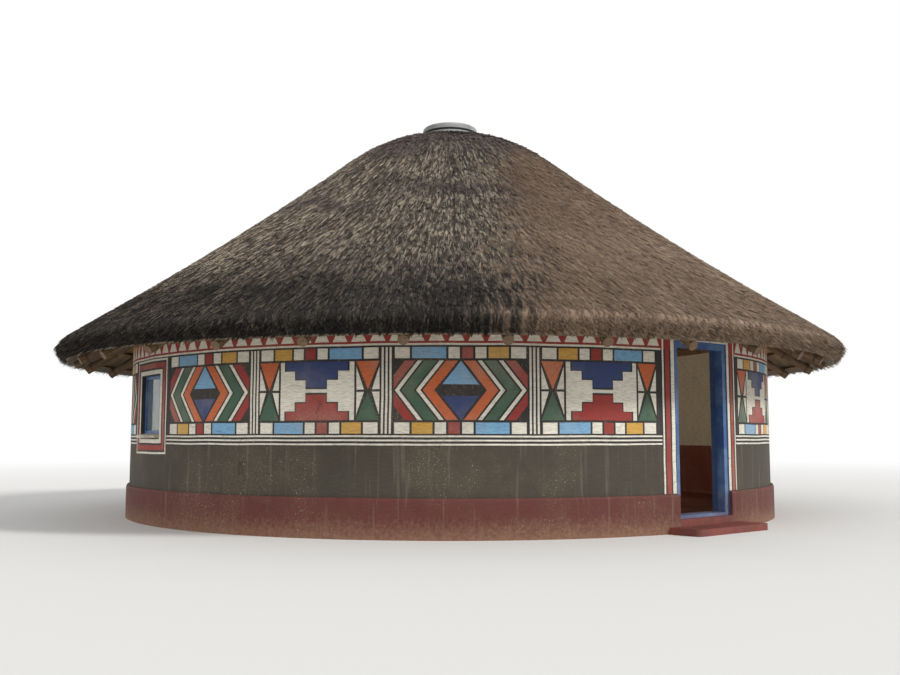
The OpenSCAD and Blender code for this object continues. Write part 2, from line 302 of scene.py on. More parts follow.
class Shared:
    """Node groups that several finishes use, each built once."""

    _made: ClassVar[dict[str, bpy.types.NodeTree]] = {}
    _vectors: ClassVar[tuple[str, ...]] = ("Point", "Along", "Around")

    @classmethod
    def _socket(cls, tree: bpy.types.NodeTree, name: str, way: str) -> bpy.types.NodeTreeInterfaceSocket:
        """Adds a socket to a group, a vector or a number by its name."""
        kind = "NodeSocketVector" if name in cls._vectors else "NodeSocketFloat"
        return tree.interface.new_socket(name, in_out=way, socket_type=kind)

    @classmethod
    def _start(cls, name: str, inputs: dict[str, float | None],
               outputs: tuple[str, ...]) -> tuple[Graph, dict[str, Socket], dict[str, Socket]]:
        """Makes an empty group.

        Args:
            name: The group's name.
            inputs: Default of each input by name.
            outputs: Names of the outputs.

        Returns:
            The graph, its input sockets and its output sockets by name.
        """
        tree = bpy.data.node_groups.new(name, "ShaderNodeTree")
        for key, default in inputs.items():
            socket = cls._socket(tree, key, "INPUT")
            if default is not None:
                socket.default_value = default
        for key in outputs:
            cls._socket(tree, key, "OUTPUT")
        graph = Graph(tree)
        ins, outs = graph.node("NodeGroupInput"), graph.node("NodeGroupOutput")
        cls._made[name] = tree
        return graph, {k: ins.outputs[k] for k in inputs}, {k: outs.inputs[k] for k in outputs}

    @classmethod
    def place(cls, graph: Graph, name: str, **values: object) -> dict[str, Socket]:
        """Places a shared group in a material.

        Args:
            graph: The material's graph.
            name: One of round_coords, weather, straw, grain or trowel.
            **values: Inputs by name, with spaces as underscores.

        Returns:
            Its outputs by name.
        """
        if name not in cls._made:
            getattr(cls, f"_{name}")()
        made = graph.node("ShaderNodeGroup")
        made.node_tree = cls._made[name]
        for key, value in values.items():
            graph.put(made.inputs[key.replace("_", " ")], value)
        return dict(made.outputs.items())

    @classmethod
    def _round_coords(cls) -> None:
        """Azimuth in radians, distance from the Z axis, height, and the three as one vector."""
        graph, ins, outs = cls._start("round_coords", {"Point": None},
                                      ("Azimuth", "Radius", "Height", "Around"))
        x, y, z = graph.apart(ins["Point"])
        azimuth, radius = graph.azimuth(x, y), graph.length(x, y)
        for socket, value in zip(outs.values(), (azimuth, radius, z, graph.joined(azimuth, radius, z))):
            graph.put(socket, value)

    @classmethod
    def _weather(cls) -> None:
        """Slow patches and fine specks, as masks around one half."""
        graph, ins, outs = cls._start("weather", {"Point": None, "Patch Scale": 0.8, "Speck Scale": 40.0},
                                      ("Patches", "Specks"))
        graph.put(outs["Patches"], graph.noise(ins["Point"], ins["Patch Scale"], 5.0, 0.6))
        graph.put(outs["Specks"], graph.noise(ins["Point"], ins["Speck Scale"], 3.0, 0.6))

    @classmethod
    def _straw(cls) -> None:
        """Fine straws that run down the slope of a cone about Z, with their bundles."""
        graph, ins, outs = cls._start("straw", {"Point": None, "Straws Across": 150.0, "Straws Along": 9.0},
                                      ("Straws", "Bundles"))
        azimuth, radius, height, _ = cls.place(graph, "round_coords", Point=ins["Point"]).values()
        straws = graph.joined(graph.times(graph.times(azimuth, 4.0), ins["Straws Across"]),
                              graph.times(graph.minus(radius, height), ins["Straws Along"]),
                              graph.times(height, 0.3))
        graph.put(outs["Straws"], graph.noise(straws, 1.0, 3.0, 0.6))
        graph.put(outs["Bundles"], graph.noise(graph.scaled(straws, (0.16, 0.35, 1.0)), 1.0, 2.0, 0.5))

    @classmethod
    def _grain(cls) -> None:
        """Wood grain and cracks along the Y axis of the given coordinates."""
        graph, ins, outs = cls._start("grain", {"Along": None, "Fibres": 90.0, "Stretch": 0.05},
                                      ("Grain", "Cracks"))
        x, y, z = (graph.times(part, ins["Fibres"]) for part in graph.apart(ins["Along"]))
        fibres = graph.joined(x, graph.times(y, ins["Stretch"]), z)
        graph.put(outs["Grain"], graph.noise(fibres, 1.0, 4.0, 0.6))
        cracks = graph.noise(graph.scaled(fibres, (0.35, 0.25, 0.35)), 1.0, 2.0, 0.5)
        graph.put(outs["Cracks"], graph.span(cracks, 0.62, 0.70))

    @classmethod
    def _trowel(cls) -> None:
        """Hand-trowelled plaster or cement: broad sweeps, small pits and hair cracks."""
        graph, ins, outs = cls._start("trowel", {"Point": None}, ("Sweeps", "Pits", "Cracks"))
        graph.put(outs["Sweeps"], graph.noise(graph.scaled(ins["Point"], (1.0, 1.0, 1.8)), 5.0, 4.0, 0.5))
        graph.put(outs["Pits"], graph.span(graph.noise(ins["Point"], 130.0, 2.0, 0.5), 0.30, 0.42))
        shifted = graph.node("ShaderNodeVectorMath", operation="ADD")
        graph.put(shifted.inputs[0], ins["Point"])
        wave = graph.node("ShaderNodeTexNoise")
        graph.put(wave.inputs["Vector"], ins["Point"])
        wave.inputs["Scale"].default_value = 3.0
        graph.put(shifted.inputs[1], graph.scaled(wave.outputs["Color"], (0.25, 0.25, 0.25)))
        cells = graph.node("ShaderNodeTexVoronoi", feature="DISTANCE_TO_EDGE")
        graph.put(cells.inputs["Vector"], shifted.outputs[0])
        cells.inputs["Scale"].default_value = 1.1
        graph.put(outs["Cracks"], graph.span(cells.outputs["Distance"], 0.004, 0.0))


class Finish:
    """Base of all finishes: makes one material and remembers it."""

    name: str
    _made: ClassVar[dict[str, bpy.types.Material]] = {}

    def material(self) -> bpy.types.Material:
        """Gives the finish's material, made on first use."""
        if self.name in self._made:
            return self._made[self.name]
        made = bpy.data.materials.new(self.name)
        self._made[self.name] = made
        made.use_nodes = True
        made.node_tree.nodes.clear()
        graph = Graph(made.node_tree)
        out = graph.node("ShaderNodeOutputMaterial")
        shader = graph.node("ShaderNodeBsdfPrincipled")
        graph.put(out.inputs["Surface"], shader.outputs[0])
        point = graph.node("ShaderNodeTexCoord").outputs["Object"]
        self.build(graph, shader, point)
        return made

    def build(self, graph: Graph, shader: bpy.types.Node, point: Socket) -> None:
        """Fills in the material's nodes.

        Args:
            graph: The material's graph.
            shader: Its Principled shader.
            point: Object coordinates.
        """
        raise NotImplementedError

    @staticmethod
    def cover(graph: Graph, shader: bpy.types.Node, colour: Socket, roughness: object, height: Socket,
              strength: float, depth: float) -> None:
        """Sets a shader's colour, roughness and relief.

        Args:
            graph: The material's graph.
            shader: Its Principled shader.
            colour: The colour.
            roughness: The roughness, a value or a socket.
            height: Height of the relief, 0 to 1.
            strength: How strongly the relief shows.
            depth: The relief's real height in metres.
        """
        graph.put(shader.inputs["Base Color"], colour)
        graph.put(shader.inputs["Roughness"], roughness)
        graph.put(shader.inputs["Normal"], graph.bump(height, strength, depth))


@dataclass(frozen=True)
class StrawTones:
    """The three colours that a stretch of thatch runs through, from the gaps to the bleached butts: the gap
    colour is painted shade, and the butts' paleness partly painted highlight.
    """

    gap: Colour
    body: Colour
    tip: Colour


@dataclass(frozen=True)
class ThatchFinish(Finish):
    """Old grass thatch: grey and coarse on its weather side, golden brown and smooth on the other.

    The weather side is what lies to the left of an upright plane, as seen from the azimuth view_turn. The two
    sides differ partly by weathering and partly by painted light: the grey side darker as in shade, the
    golden side paler and warmer as in sun.
    by_straw is for the straw pieces: each clump of theirs carries a random shade, each straw in it another
    one, and each corner its place across the clump.
    """

    name: str = "weathered_thatch"
    grey: StrawTones = StrawTones(srgb(48, 42, 38), srgb(102, 90, 80), srgb(192, 178, 156))
    golden: StrawTones = StrawTones(srgb(92, 75, 62), srgb(145, 123, 103), srgb(190, 167, 140))
    top: StrawTones = StrawTones(srgb(56, 47, 47), srgb(89, 76, 73), srgb(124, 110, 102))
    brown: StrawTones = StrawTones(srgb(76, 58, 47), srgb(117, 95, 77), srgb(152, 130, 107))
    # colour of the painted shade towards the eave on the weather side
    low_shade: Colour = srgb(26, 25, 23)
    view_turn: float = math.radians(-40.0)
    edge: tuple[float, float] = (1.05, 0.35)
    top_height: float = 4.85
    moss_band: tuple[float, float] = (4.02, 0.16)
    by_straw: bool = False

    def straw_shares(self, graph: Graph, straw: dict[str, Socket]) -> tuple[Socket, Socket]:
        """Gives the shade of each straw, 0 to 1, and the height of its relief.

        Args:
            graph: The material's graph.
            straw: The straw group's outputs.

        Returns:
            The shade and the height.
        """
        if not self.by_straw:
            return graph.span(straw["Straws"], 0.3, 0.7, 0.0, 0.7), straw["Straws"]
        clump, own, across = (graph.node("ShaderNodeAttribute", attribute_name=name).outputs["Fac"]
                              for name in ("shade", "straw", "across"))
        mixed = graph.math("FRACT", graph.plus(graph.times(clump, 41.3), own))
        lines = graph.node("ShaderNodeTexNoise", noise_dimensions="1D")
        lines.inputs["Detail"].default_value = 2.0
        graph.put(lines.inputs["W"], graph.plus(graph.times(across, 520.0), graph.times(clump, 97.0)))
        fine = graph.span(lines.outputs[0], 0.25, 0.75)
        share = graph.plus(graph.times(mixed, 0.54), graph.times(clump, 0.12))
        return graph.plus(share, graph.times(fine, 0.38)), fine

    def shade(self, graph: Graph, share: Socket, tones: StrawTones) -> Socket:
        """Runs a shade of 0 to 1 through three colours."""
        low = graph.mix(graph.span(share, 0.12, 0.52), tones.gap, tones.body)
        return graph.mix(graph.span(share, 0.52, 0.95), low, tones.tip)

    def build(self, graph: Graph, shader: bpy.types.Node, point: Socket) -> None:
        """Fills in the material's nodes; see Finish.build."""
        straw = Shared.place(graph, "straw", Point=point)
        weather = Shared.place(graph, "weather", Point=point, Patch_Scale=0.55, Speck_Scale=22.0)
        rounds = Shared.place(graph, "round_coords", Point=point)
        x, y, _ = graph.apart(point)
        patches = graph.minus(weather["Patches"], 0.5)
        height = rounds["Height"]
        # how far a place lies to the right, as seen from the view
        right = graph.plus(graph.times(x, math.cos(self.view_turn)), graph.times(y, math.sin(self.view_turn)))
        right = graph.plus(right, graph.times(patches, 1.6))
        bundle = graph.span(straw["Bundles"], 0.34, 0.66, -0.5, 0.5)
        right = graph.plus(right, graph.times(bundle, 0.35))
        # share of the grey side: partly weathering, partly painted shade beside the golden side's painted
        # sunlight
        grey = graph.span(right, *self.edge)
        # faint courses and runs of rain, which show most on the smooth side
        runs = graph.noise(graph.scaled(rounds["Around"], (26.0, 0.9, 0.5)), 1.0, 4.0, 0.6)
        clouds = graph.noise(point, 1.7, 4.0, 0.6)
        tone = graph.plus(graph.sway(runs, 0.5), graph.sway(clouds, 0.45))
        share, relief = self.straw_shares(graph, straw)
        share = graph.plus(share, graph.times(bundle, graph.span(grey, 0.0, 1.0, 0.2, 0.26)))
        # the weather side's tones spread wider: painted shade in the gaps and painted highlight on the butts,
        # as raking sun gives them
        even = graph.span(grey, 0.0, 1.0, 0.55, 1.15)
        share = graph.plus(0.5, graph.times(graph.minus(share, 0.5), even))
        share = graph.plus(share, tone, clamp=True)
        # the golden side is browner where it meets the weather side, most of all high up
        brown = graph.times(graph.span(right, 3.0, 1.0), graph.span(height, 3.0, 4.5, 0.3, 0.9))
        golden = graph.mix(brown, self.shade(graph, share, self.golden), self.shade(graph, share, self.brown))
        colour = graph.mix(grey, golden, self.shade(graph, share, self.grey))
        # near the cap, and in a band below it on the weather side, the grass is mossy and purplish brown
        broad = Shared.place(graph, "weather", Point=point, Patch_Scale=0.28, Speck_Scale=1.1)
        wavy = graph.plus(height, graph.sway(broad["Specks"], 1.4))
        band = graph.math("ABSOLUTE", graph.minus(wavy, self.moss_band[0]))
        band = graph.times(graph.span(band, self.moss_band[1], 0.3 * self.moss_band[1]), grey)
        # strong near the boundary that the view shows, and broken further round
        broken = graph.math("MAXIMUM", graph.span(broad["Patches"], 0.47, 0.56),
                            graph.span(right, -0.9, -0.2))
        band = graph.times(band, broken)
        near_top = graph.span(graph.plus(height, graph.times(patches, 1.2)), self.top_height - 0.25,
                              self.top_height + 0.25)
        near_top = graph.times(near_top, graph.span(grey, 0.0, 1.0, 0.55, 0.9))
        mossy = graph.math("MAXIMUM", graph.times(band, 0.85), near_top)
        colour = graph.mix(mossy, colour, self.shade(graph, share, self.top))
        # painted shade: a dark patch towards the eave on the weather side
        low = graph.plus(height, graph.times(patches, 0.9))
        low_shade = graph.times(graph.span(low, 3.2, 2.55), graph.span(right, 0.95, 0.4, 0.08, 1.0))
        colour = graph.mix(graph.times(low_shade, 0.88), colour,
                           graph.mix(graph.span(share, 0.55, 0.95, 0.0, 0.8), self.low_shade, self.grey.body))
        # painted shade: dark specks of the gaps' colour on the weather side, as in gaps between straws
        specks = graph.times(graph.span(weather["Specks"], 0.56, 0.68), graph.span(grey, 0.0, 1.0, 0.1, 0.5))
        colour = graph.mix(specks, colour, self.grey.gap)
        shader.inputs["Specular IOR Level"].default_value = 0.3
        self.cover(graph, shader, colour, 0.85, relief, 0.9, 0.004)


@dataclass(frozen=True)
class InnerThatchFinish(Finish):
    """Clean straw-coloured grass that shows from inside, with the stitching's dark lines."""

    name: str = "inner_thatch"
    pale: Colour = srgb(196, 168, 116)
    dark: Colour = srgb(112, 88, 56)

    def build(self, graph: Graph, shader: bpy.types.Node, point: Socket) -> None:
        """Fills in the material's nodes; see Finish.build."""
        straw = Shared.place(graph, "straw", Point=point, Straws_Across=170.0, Straws_Along=3.0)
        weather = Shared.place(graph, "weather", Point=point, Patch_Scale=0.7)
        colour = graph.mix(graph.span(straw["Straws"], 0.32, 0.68), self.dark, self.pale)
        colour = graph.tint(colour, srgb(120, 98, 70), weather["Patches"], 0.45, 0.65, 0.35)
        colour = graph.tint(colour, self.dark, straw["Bundles"], 0.55, 0.7, 0.4)
        # the part outside the wall is weathered
        rounds = Shared.place(graph, "round_coords", Point=point)
        weathered = graph.mix(graph.span(straw["Straws"], 0.3, 0.6), srgb(54, 47, 40), srgb(108, 95, 78))
        colour = graph.mix(graph.span(rounds["Radius"], 4.7, 5.25, 0.0, 0.85), colour, weathered)
        self.cover(graph, shader, colour, 0.8, straw["Straws"], 0.8, 0.005)


@dataclass(frozen=True)
class PoleFinish(Finish):
    """Peeled round poles that lie down the slope, or rings of laths, weathered and drying-cracked."""

    name: str
    pale: Colour
    dark: Colour
    around: bool = False
    poles_round: int = 32

    def build(self, graph: Graph, shader: bpy.types.Node, point: Socket) -> None:
        """Fills in the material's nodes; see Finish.build."""
        rounds = Shared.place(graph, "round_coords", Point=point)
        azimuth, apart = rounds["Azimuth"], 0.0
        if not self.around:
            # each pole's grain starts from its own middle, so that it runs straight down the pole
            turns = graph.times(azimuth, self.poles_round / math.tau)
            number = graph.math("ROUND", turns)
            azimuth = graph.times(graph.minus(turns, number), math.tau / self.poles_round)
            apart = graph.times(number, 3.7)
        arc = graph.times(azimuth, graph.math("MAXIMUM", rounds["Radius"], 0.3))
        arc = graph.plus(arc, apart)
        down = graph.minus(graph.times(rounds["Radius"], 0.84), graph.times(rounds["Height"], 0.54))
        across = graph.plus(graph.times(rounds["Radius"], 0.54), graph.times(rounds["Height"], 0.84))
        along = graph.joined(*((down, arc, across) if self.around else (arc, down, across)))
        grain = Shared.place(graph, "grain", Along=along, Fibres=110.0, Stretch=0.06)
        weather = Shared.place(graph, "weather", Point=point, Patch_Scale=2.2, Speck_Scale=60.0)
        colour = graph.mix(graph.span(grain["Grain"], 0.32, 0.7), self.dark, self.pale)
        colour = graph.tint(colour, self.dark, weather["Patches"], 0.45, 0.65, 0.4)
        colour = graph.mix(graph.times(grain["Cracks"], 0.7), colour, srgb(44, 34, 26))
        height = graph.minus(grain["Grain"], graph.times(grain["Cracks"], 0.6))
        self.cover(graph, shader, colour, 0.72, height, 0.6, 0.003)


@dataclass(frozen=True)
class OiledPaintFinish(Finish):
    """Blue oil paint on sawn timber, chalky and chipped down to grey wood."""

    name: str = "blue_painted_timber"
    paint: Colour = srgb(52, 84, 136)
    faded: Colour = srgb(92, 122, 160)
    wood: Colour = srgb(128, 112, 94)
    upright: bool = True

    def build(self, graph: Graph, shader: bpy.types.Node, point: Socket) -> None:
        """Fills in the material's nodes; see Finish.build."""
        turn = (1.0, 0.0, 0.0) if self.upright else (0.0, 0.0, 0.0)
        mapped = graph.node("ShaderNodeMapping")
        mapped.inputs["Rotation"].default_value = tuple(math.pi / 2 * t for t in turn)
        graph.put(mapped.inputs["Vector"], point)
        grain = Shared.place(graph, "grain", Along=mapped.outputs[0], Fibres=160.0, Stretch=0.04)
        weather = Shared.place(graph, "weather", Point=point, Patch_Scale=3.0, Speck_Scale=55.0)
        colour = graph.mix(graph.span(weather["Patches"], 0.4, 0.66), self.paint, self.faded)
        chips = graph.times(graph.span(weather["Specks"], 0.60, 0.64), graph.span(grain["Grain"], 0.45, 0.6))
        scuffed = graph.span(graph.apart(point)[2], 0.75, 0.2)
        chips = graph.math("MAXIMUM", chips, graph.times(scuffed, graph.span(grain["Grain"], 0.50, 0.56)))
        colour = graph.mix(chips, colour, self.wood)
        height = graph.minus(graph.times(grain["Grain"], 0.6), chips)
        self.cover(graph, shader, colour, graph.span(chips, 0.0, 1.0, 0.42, 0.85), height, 0.5, 0.0015)


@dataclass(frozen=True)
class SawnTimberFinish(Finish):
    """Rough sawn beams of the wall plate, their grain along the ring."""

    name: str = "sawn_timber"
    pale: Colour = srgb(150, 118, 80)
    dark: Colour = srgb(92, 66, 42)

    def build(self, graph: Graph, shader: bpy.types.Node, point: Socket) -> None:
        """Fills in the material's nodes; see Finish.build."""
        rounds = Shared.place(graph, "round_coords", Point=point)
        along = graph.joined(rounds["Radius"], graph.times(rounds["Azimuth"], 4.3), rounds["Height"])
        grain = Shared.place(graph, "grain", Along=along, Fibres=120.0, Stretch=0.05)
        colour = graph.mix(graph.span(grain["Grain"], 0.3, 0.7), self.dark, self.pale)
        colour = graph.mix(graph.times(grain["Cracks"], 0.6), colour, srgb(50, 36, 24))
        self.cover(graph, shader, colour, 0.8, grain["Grain"], 0.6, 0.002)


@dataclass(frozen=True)
class WallFinish(Finish):
    """Trowelled plaster, painted in level bands outside and lime-washed inside."""

    name: str = "painted_plaster"
    face_r: float = 4.45
    inner_r: float = 4.22
    kerb_top: float = 0.42
    dado_top: float = 0.945
    panel_top: float = 2.0
    frieze_top: float = 2.29
    door_half: float = 0.48
    kerb: Colour = srgb(92, 40, 34)
    dado: Colour = srgb(62, 56, 44)
    ground: Colour = Paint.BLACK.value
    frieze: Colour = Paint.BRICK.value
    # dark top band under the eave: painted shade of the eave
    eave_shade_band: Colour = srgb(58, 50, 44)
    inside: Colour = srgb(206, 192, 160)
    reveal: Colour = srgb(58, 92, 140)
    plaster: Colour = srgb(150, 136, 116)

    def build(self, graph: Graph, shader: bpy.types.Node, point: Socket) -> None:
        """Fills in the material's nodes; see Finish.build."""
        trowel = Shared.place(graph, "trowel", Point=point)
        weather = Shared.place(graph, "weather", Point=point, Patch_Scale=1.1, Speck_Scale=70.0)
        rounds = Shared.place(graph, "round_coords", Point=point)
        x, y, _ = graph.apart(point)
        wobble = graph.sway(graph.noise(point, 2.6, 3.0, 0.5), 0.014)
        height = graph.plus(rounds["Height"], wobble)
        # level bands of paint from the kerb up; the dark top band under the eave is painted shade of the eave
        outer: object = self.kerb
        for edge, colour in ((self.kerb_top, self.dado), (self.dado_top, self.ground),
                             (self.panel_top, self.frieze), (self.frieze_top, self.eave_shade_band)):
            outer = graph.mix(graph.math("GREATER_THAN", height, edge), outer, colour)
        # the kerb's sloped top keeps the kerb's own paint
        on_kerb = graph.math("GREATER_THAN", rounds["Radius"], self.face_r + 0.004)
        outer = graph.mix(on_kerb, outer, self.kerb)
        inner = graph.mix(graph.math("GREATER_THAN", height, 0.9), srgb(120, 66, 52), self.inside)
        is_inner = graph.math("LESS_THAN", rounds["Radius"], self.inner_r + 0.004)
        beside_door = graph.times(graph.math("LESS_THAN", graph.math("ABSOLUTE", x), self.door_half + 0.001),
                                  graph.math("LESS_THAN", y, 0.0))
        colour = graph.mix(is_inner, outer, inner)
        # the reveal runs from the inner face to the outer one, and the kerb's ends stay red
        is_reveal = graph.minus(beside_door, graph.math("MAXIMUM", is_inner, on_kerb), clamp=True)
        colour = graph.mix(is_reveal, colour, self.reveal)
        # brush strokes, uneven fading, chips, rain runs and the dust that rain throws up from the ground
        face = graph.joined(graph.times(rounds["Azimuth"], 4.4), 0.0, rounds["Height"])
        strokes = graph.noise(graph.scaled(face, (9.0, 1.0, 70.0)), 1.0, 4.0, 0.6)
        runs = graph.noise(graph.scaled(face, (16.0, 1.0, 0.7)), 1.0, 3.0, 0.6)
        dark = graph.mix(1.0, colour, (0.62, 0.60, 0.58), "MULTIPLY")
        colour = graph.tint(colour, dark, strokes, 0.42, 0.62, 0.5)
        faded = graph.times(graph.span(weather["Patches"], 0.40, 0.68),
                            graph.span(strokes, 0.35, 0.6, 0.12, 0.3))
        colour = graph.mix(faded, colour, graph.mix(0.5, colour, self.plaster))
        colour = graph.tint(colour, self.plaster, runs, 0.56, 0.72, 0.22)
        worn = graph.times(graph.span(weather["Specks"], 0.63, 0.66),
                           graph.span(weather["Patches"], 0.46, 0.6))
        colour = graph.mix(worn, colour, self.plaster)
        ragged = graph.plus(rounds["Height"], graph.sway(graph.noise(point, 26.0, 4.0, 0.7), 0.5))
        splash = graph.span(ragged, 0.26, -0.08)
        colour = graph.mix(graph.times(splash, 0.6), colour, srgb(146, 114, 86))
        colour = graph.mix(graph.times(trowel["Cracks"], 0.5), colour, srgb(36, 30, 26))
        roughness = graph.span(weather["Patches"], 0.3, 0.7, 0.72, 0.9)
        relief = graph.plus(trowel["Sweeps"], graph.times(trowel["Pits"], 0.12))
        relief = graph.plus(relief, graph.times(strokes, 0.1))
        relief = graph.minus(relief, graph.times(trowel["Cracks"], 0.2))
        self.cover(graph, shader, colour, roughness, relief, 0.55, 0.012)


@dataclass(frozen=True)
class WallPaintFinish(Finish):
    """One colour of the hand-painted pattern, brushed, a little faded and worn."""

    paint: Paint
    faded: Colour = srgb(168, 156, 138)

    @property
    def name(self) -> str:
        """Name of the material."""
        return f"wall_paint_{self.paint.name.lower()}"

    def build(self, graph: Graph, shader: bpy.types.Node, point: Socket) -> None:
        """Fills in the material's nodes; see Finish.build."""
        trowel = Shared.place(graph, "trowel", Point=point)
        weather = Shared.place(graph, "weather", Point=point, Patch_Scale=1.3, Speck_Scale=80.0)
        brush = graph.noise(graph.scaled(point, (14.0, 14.0, 90.0)), 1.0, 3.0, 0.6)
        dark = tuple(0.72 * c for c in self.paint.value)
        colour = graph.mix(graph.span(brush, 0.32, 0.62), dark, self.paint.value)
        colour = graph.tint(colour, self.faded, weather["Patches"], 0.42, 0.7, 0.24)
        worn = graph.times(graph.span(weather["Specks"], 0.64, 0.68),
                           graph.span(weather["Patches"], 0.48, 0.6))
        colour = graph.mix(worn, colour, self.faded)
        colour = graph.mix(graph.times(trowel["Cracks"], 0.5), colour, srgb(50, 44, 38))
        roughness = graph.span(brush, 0.3, 0.7, 0.6, 0.8)
        relief = graph.plus(trowel["Sweeps"], graph.times(brush, 0.08))
        self.cover(graph, shader, colour, roughness, relief, 0.55, 0.012)


@dataclass(frozen=True)
class CementFinish(Finish):
    """Trowelled cement, bare or coloured, stained by weather and worn smooth where feet go."""

    name: str
    base: Colour
    stain: Colour
    roughness: float = 0.8
    relief: float = 0.006

    def build(self, graph: Graph, shader: bpy.types.Node, point: Socket) -> None:
        """Fills in the material's nodes; see Finish.build."""
        trowel = Shared.place(graph, "trowel", Point=point)
        weather = Shared.place(graph, "weather", Point=point, Patch_Scale=1.8, Speck_Scale=90.0)
        colour = graph.mix(graph.span(weather["Patches"], 0.36, 0.66), self.base, self.stain)
        dark = tuple(0.5 * c for c in self.stain)
        colour = graph.tint(colour, dark, weather["Specks"], 0.6, 0.7, 0.5)
        colour = graph.mix(graph.times(trowel["Cracks"], 0.6), colour, srgb(40, 36, 32))
        roughness = graph.span(weather["Patches"], 0.3, 0.7, self.roughness - 0.1, self.roughness + 0.1)
        relief = graph.minus(graph.plus(trowel["Sweeps"], graph.times(trowel["Pits"], 0.25)),
                             graph.times(trowel["Cracks"], 0.3))
        self.cover(graph, shader, colour, roughness, relief, 0.5, self.relief)


@dataclass(frozen=True)
class TwineFinish(Finish):
    """Tarred twine in turns that lie side by side around pole and lath."""

    name: str = "twine"
    pale: Colour = srgb(132, 106, 70)
    dark: Colour = srgb(58, 44, 30)

    def build(self, graph: Graph, shader: bpy.types.Node, point: Socket) -> None:
        """Fills in the material's nodes; see Finish.build."""
        rounds = Shared.place(graph, "round_coords", Point=point)
        weather = Shared.place(graph, "weather", Point=point, Patch_Scale=30.0, Speck_Scale=400.0)
        down = graph.minus(rounds["Radius"], graph.times(rounds["Height"], 0.65))
        turns = graph.math("SINE", graph.times(down, 900.0))
        colour = graph.mix(graph.span(turns, -0.6, 0.6), self.dark, self.pale)
        colour = graph.tint(colour, self.dark, weather["Specks"], 0.4, 0.65, 0.5)
        self.cover(graph, shader, colour, 0.85, turns, 0.7, 0.002)


@dataclass(frozen=True)
class FeltFinish(Finish):
    """Dark roofing felt with its mineral grit."""

    name: str = "roofing_felt"

    def build(self, graph: Graph, shader: bpy.types.Node, point: Socket) -> None:
        """Fills in the material's nodes; see Finish.build."""
        weather = Shared.place(graph, "weather", Point=point, Patch_Scale=4.0, Speck_Scale=300.0)
        colour = graph.mix(graph.span(weather["Specks"], 0.4, 0.65), srgb(38, 38, 44), srgb(78, 78, 84))
        self.cover(graph, shader, colour, 0.9, weather["Specks"], 0.6, 0.001)


@dataclass(frozen=True)
class PaneFinish(Finish):
    """Window glass with dust towards its edges and a few smears."""

    name: str = "window_pane"

    def build(self, graph: Graph, shader: bpy.types.Node, point: Socket) -> None:
        """Fills in the material's nodes; see Finish.build."""
        weather = Shared.place(graph, "weather", Point=point, Patch_Scale=5.0, Speck_Scale=120.0)
        dust = graph.times(graph.span(weather["Patches"], 0.35, 0.85), 0.4)
        graph.put(shader.inputs["Base Color"], graph.mix(dust, srgb(206, 220, 222), srgb(168, 158, 140)))
        graph.put(shader.inputs["Roughness"], graph.span(dust, 0.0, 0.6, 0.04, 0.35))
        shader.inputs["Metallic"].default_value = 0.0
        shader.inputs["Transmission Weight"].default_value = 0.85
        shader.inputs["IOR"].default_value = 1.45


THATCH = ThatchFinish()
STRAW = ThatchFinish(name="thatch_straw", by_straw=True)
INNER_THATCH = InnerThatchFinish()
POLES = PoleFinish("pole_timber", srgb(142, 116, 86), srgb(88, 68, 50))
LATHS = PoleFinish("lath_timber", srgb(158, 128, 90), srgb(98, 74, 48), around=True)
BLUE_UPRIGHT = OiledPaintFinish()
BLUE_LEVEL = OiledPaintFinish(name="blue_painted_timber_level", upright=False)
SAWN = SawnTimberFinish()
WALL = WallFinish()
RED_CEMENT = CementFinish("red_cement", srgb(126, 58, 46), srgb(96, 48, 40), 0.55, 0.004)
PALE_CEMENT = CementFinish("pale_cement", srgb(208, 202, 186), srgb(168, 158, 140))
CAP_CEMENT = CementFinish("cap_cement", srgb(160, 160, 158), srgb(120, 118, 114), 0.85)
FELT = FeltFinish()
PANE = PaneFinish()
TWINE = TwineFinish()


def dress(node: str, finish: Finish) -> None:
    """Gives a CAD node its finish.

    Args:
        node: The node's name.
        finish: The finish.
    """
    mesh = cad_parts[node].data
    mesh.materials.clear()
    mesh.materials.append(finish.material())


def as_mesh(name: str, shape: bmesh.types.BMesh) -> bpy.types.Mesh:
    """Turns a bmesh into a mesh and frees it.

    Args:
        name: The mesh's name.
        shape: The bmesh.

    Returns:
        The mesh.
    """
    mesh = bpy.data.meshes.new(name)
    shape.to_mesh(mesh)
    shape.free()
    return mesh


def put_in(name: str, data: bpy.types.ID) -> bpy.types.Object:
    """Puts a mesh, light or camera in the scene.

    Args:
        name: The object's name.
        data: What it shows.

    Returns:
        The new object.
    """
    made = bpy.data.objects.new(name, data)
    bpy.context.scene.collection.objects.link(made)
    return made


def add_piece(name: str, mesh: bpy.types.Mesh, finish: Finish) -> None:
    """Puts a finished mesh in the scene as a piece of the hut.

    Args:
        name: The piece's name.
        mesh: Its mesh, already in place.
        finish: Its finish.
    """
    made = put_in(name, mesh)
    mesh.materials.clear()
    mesh.materials.append(finish.material())
    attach(made, "root")
    LOG.info("%s: %d triangles", name, sum(len(p.vertices) - 2 for p in mesh.polygons))


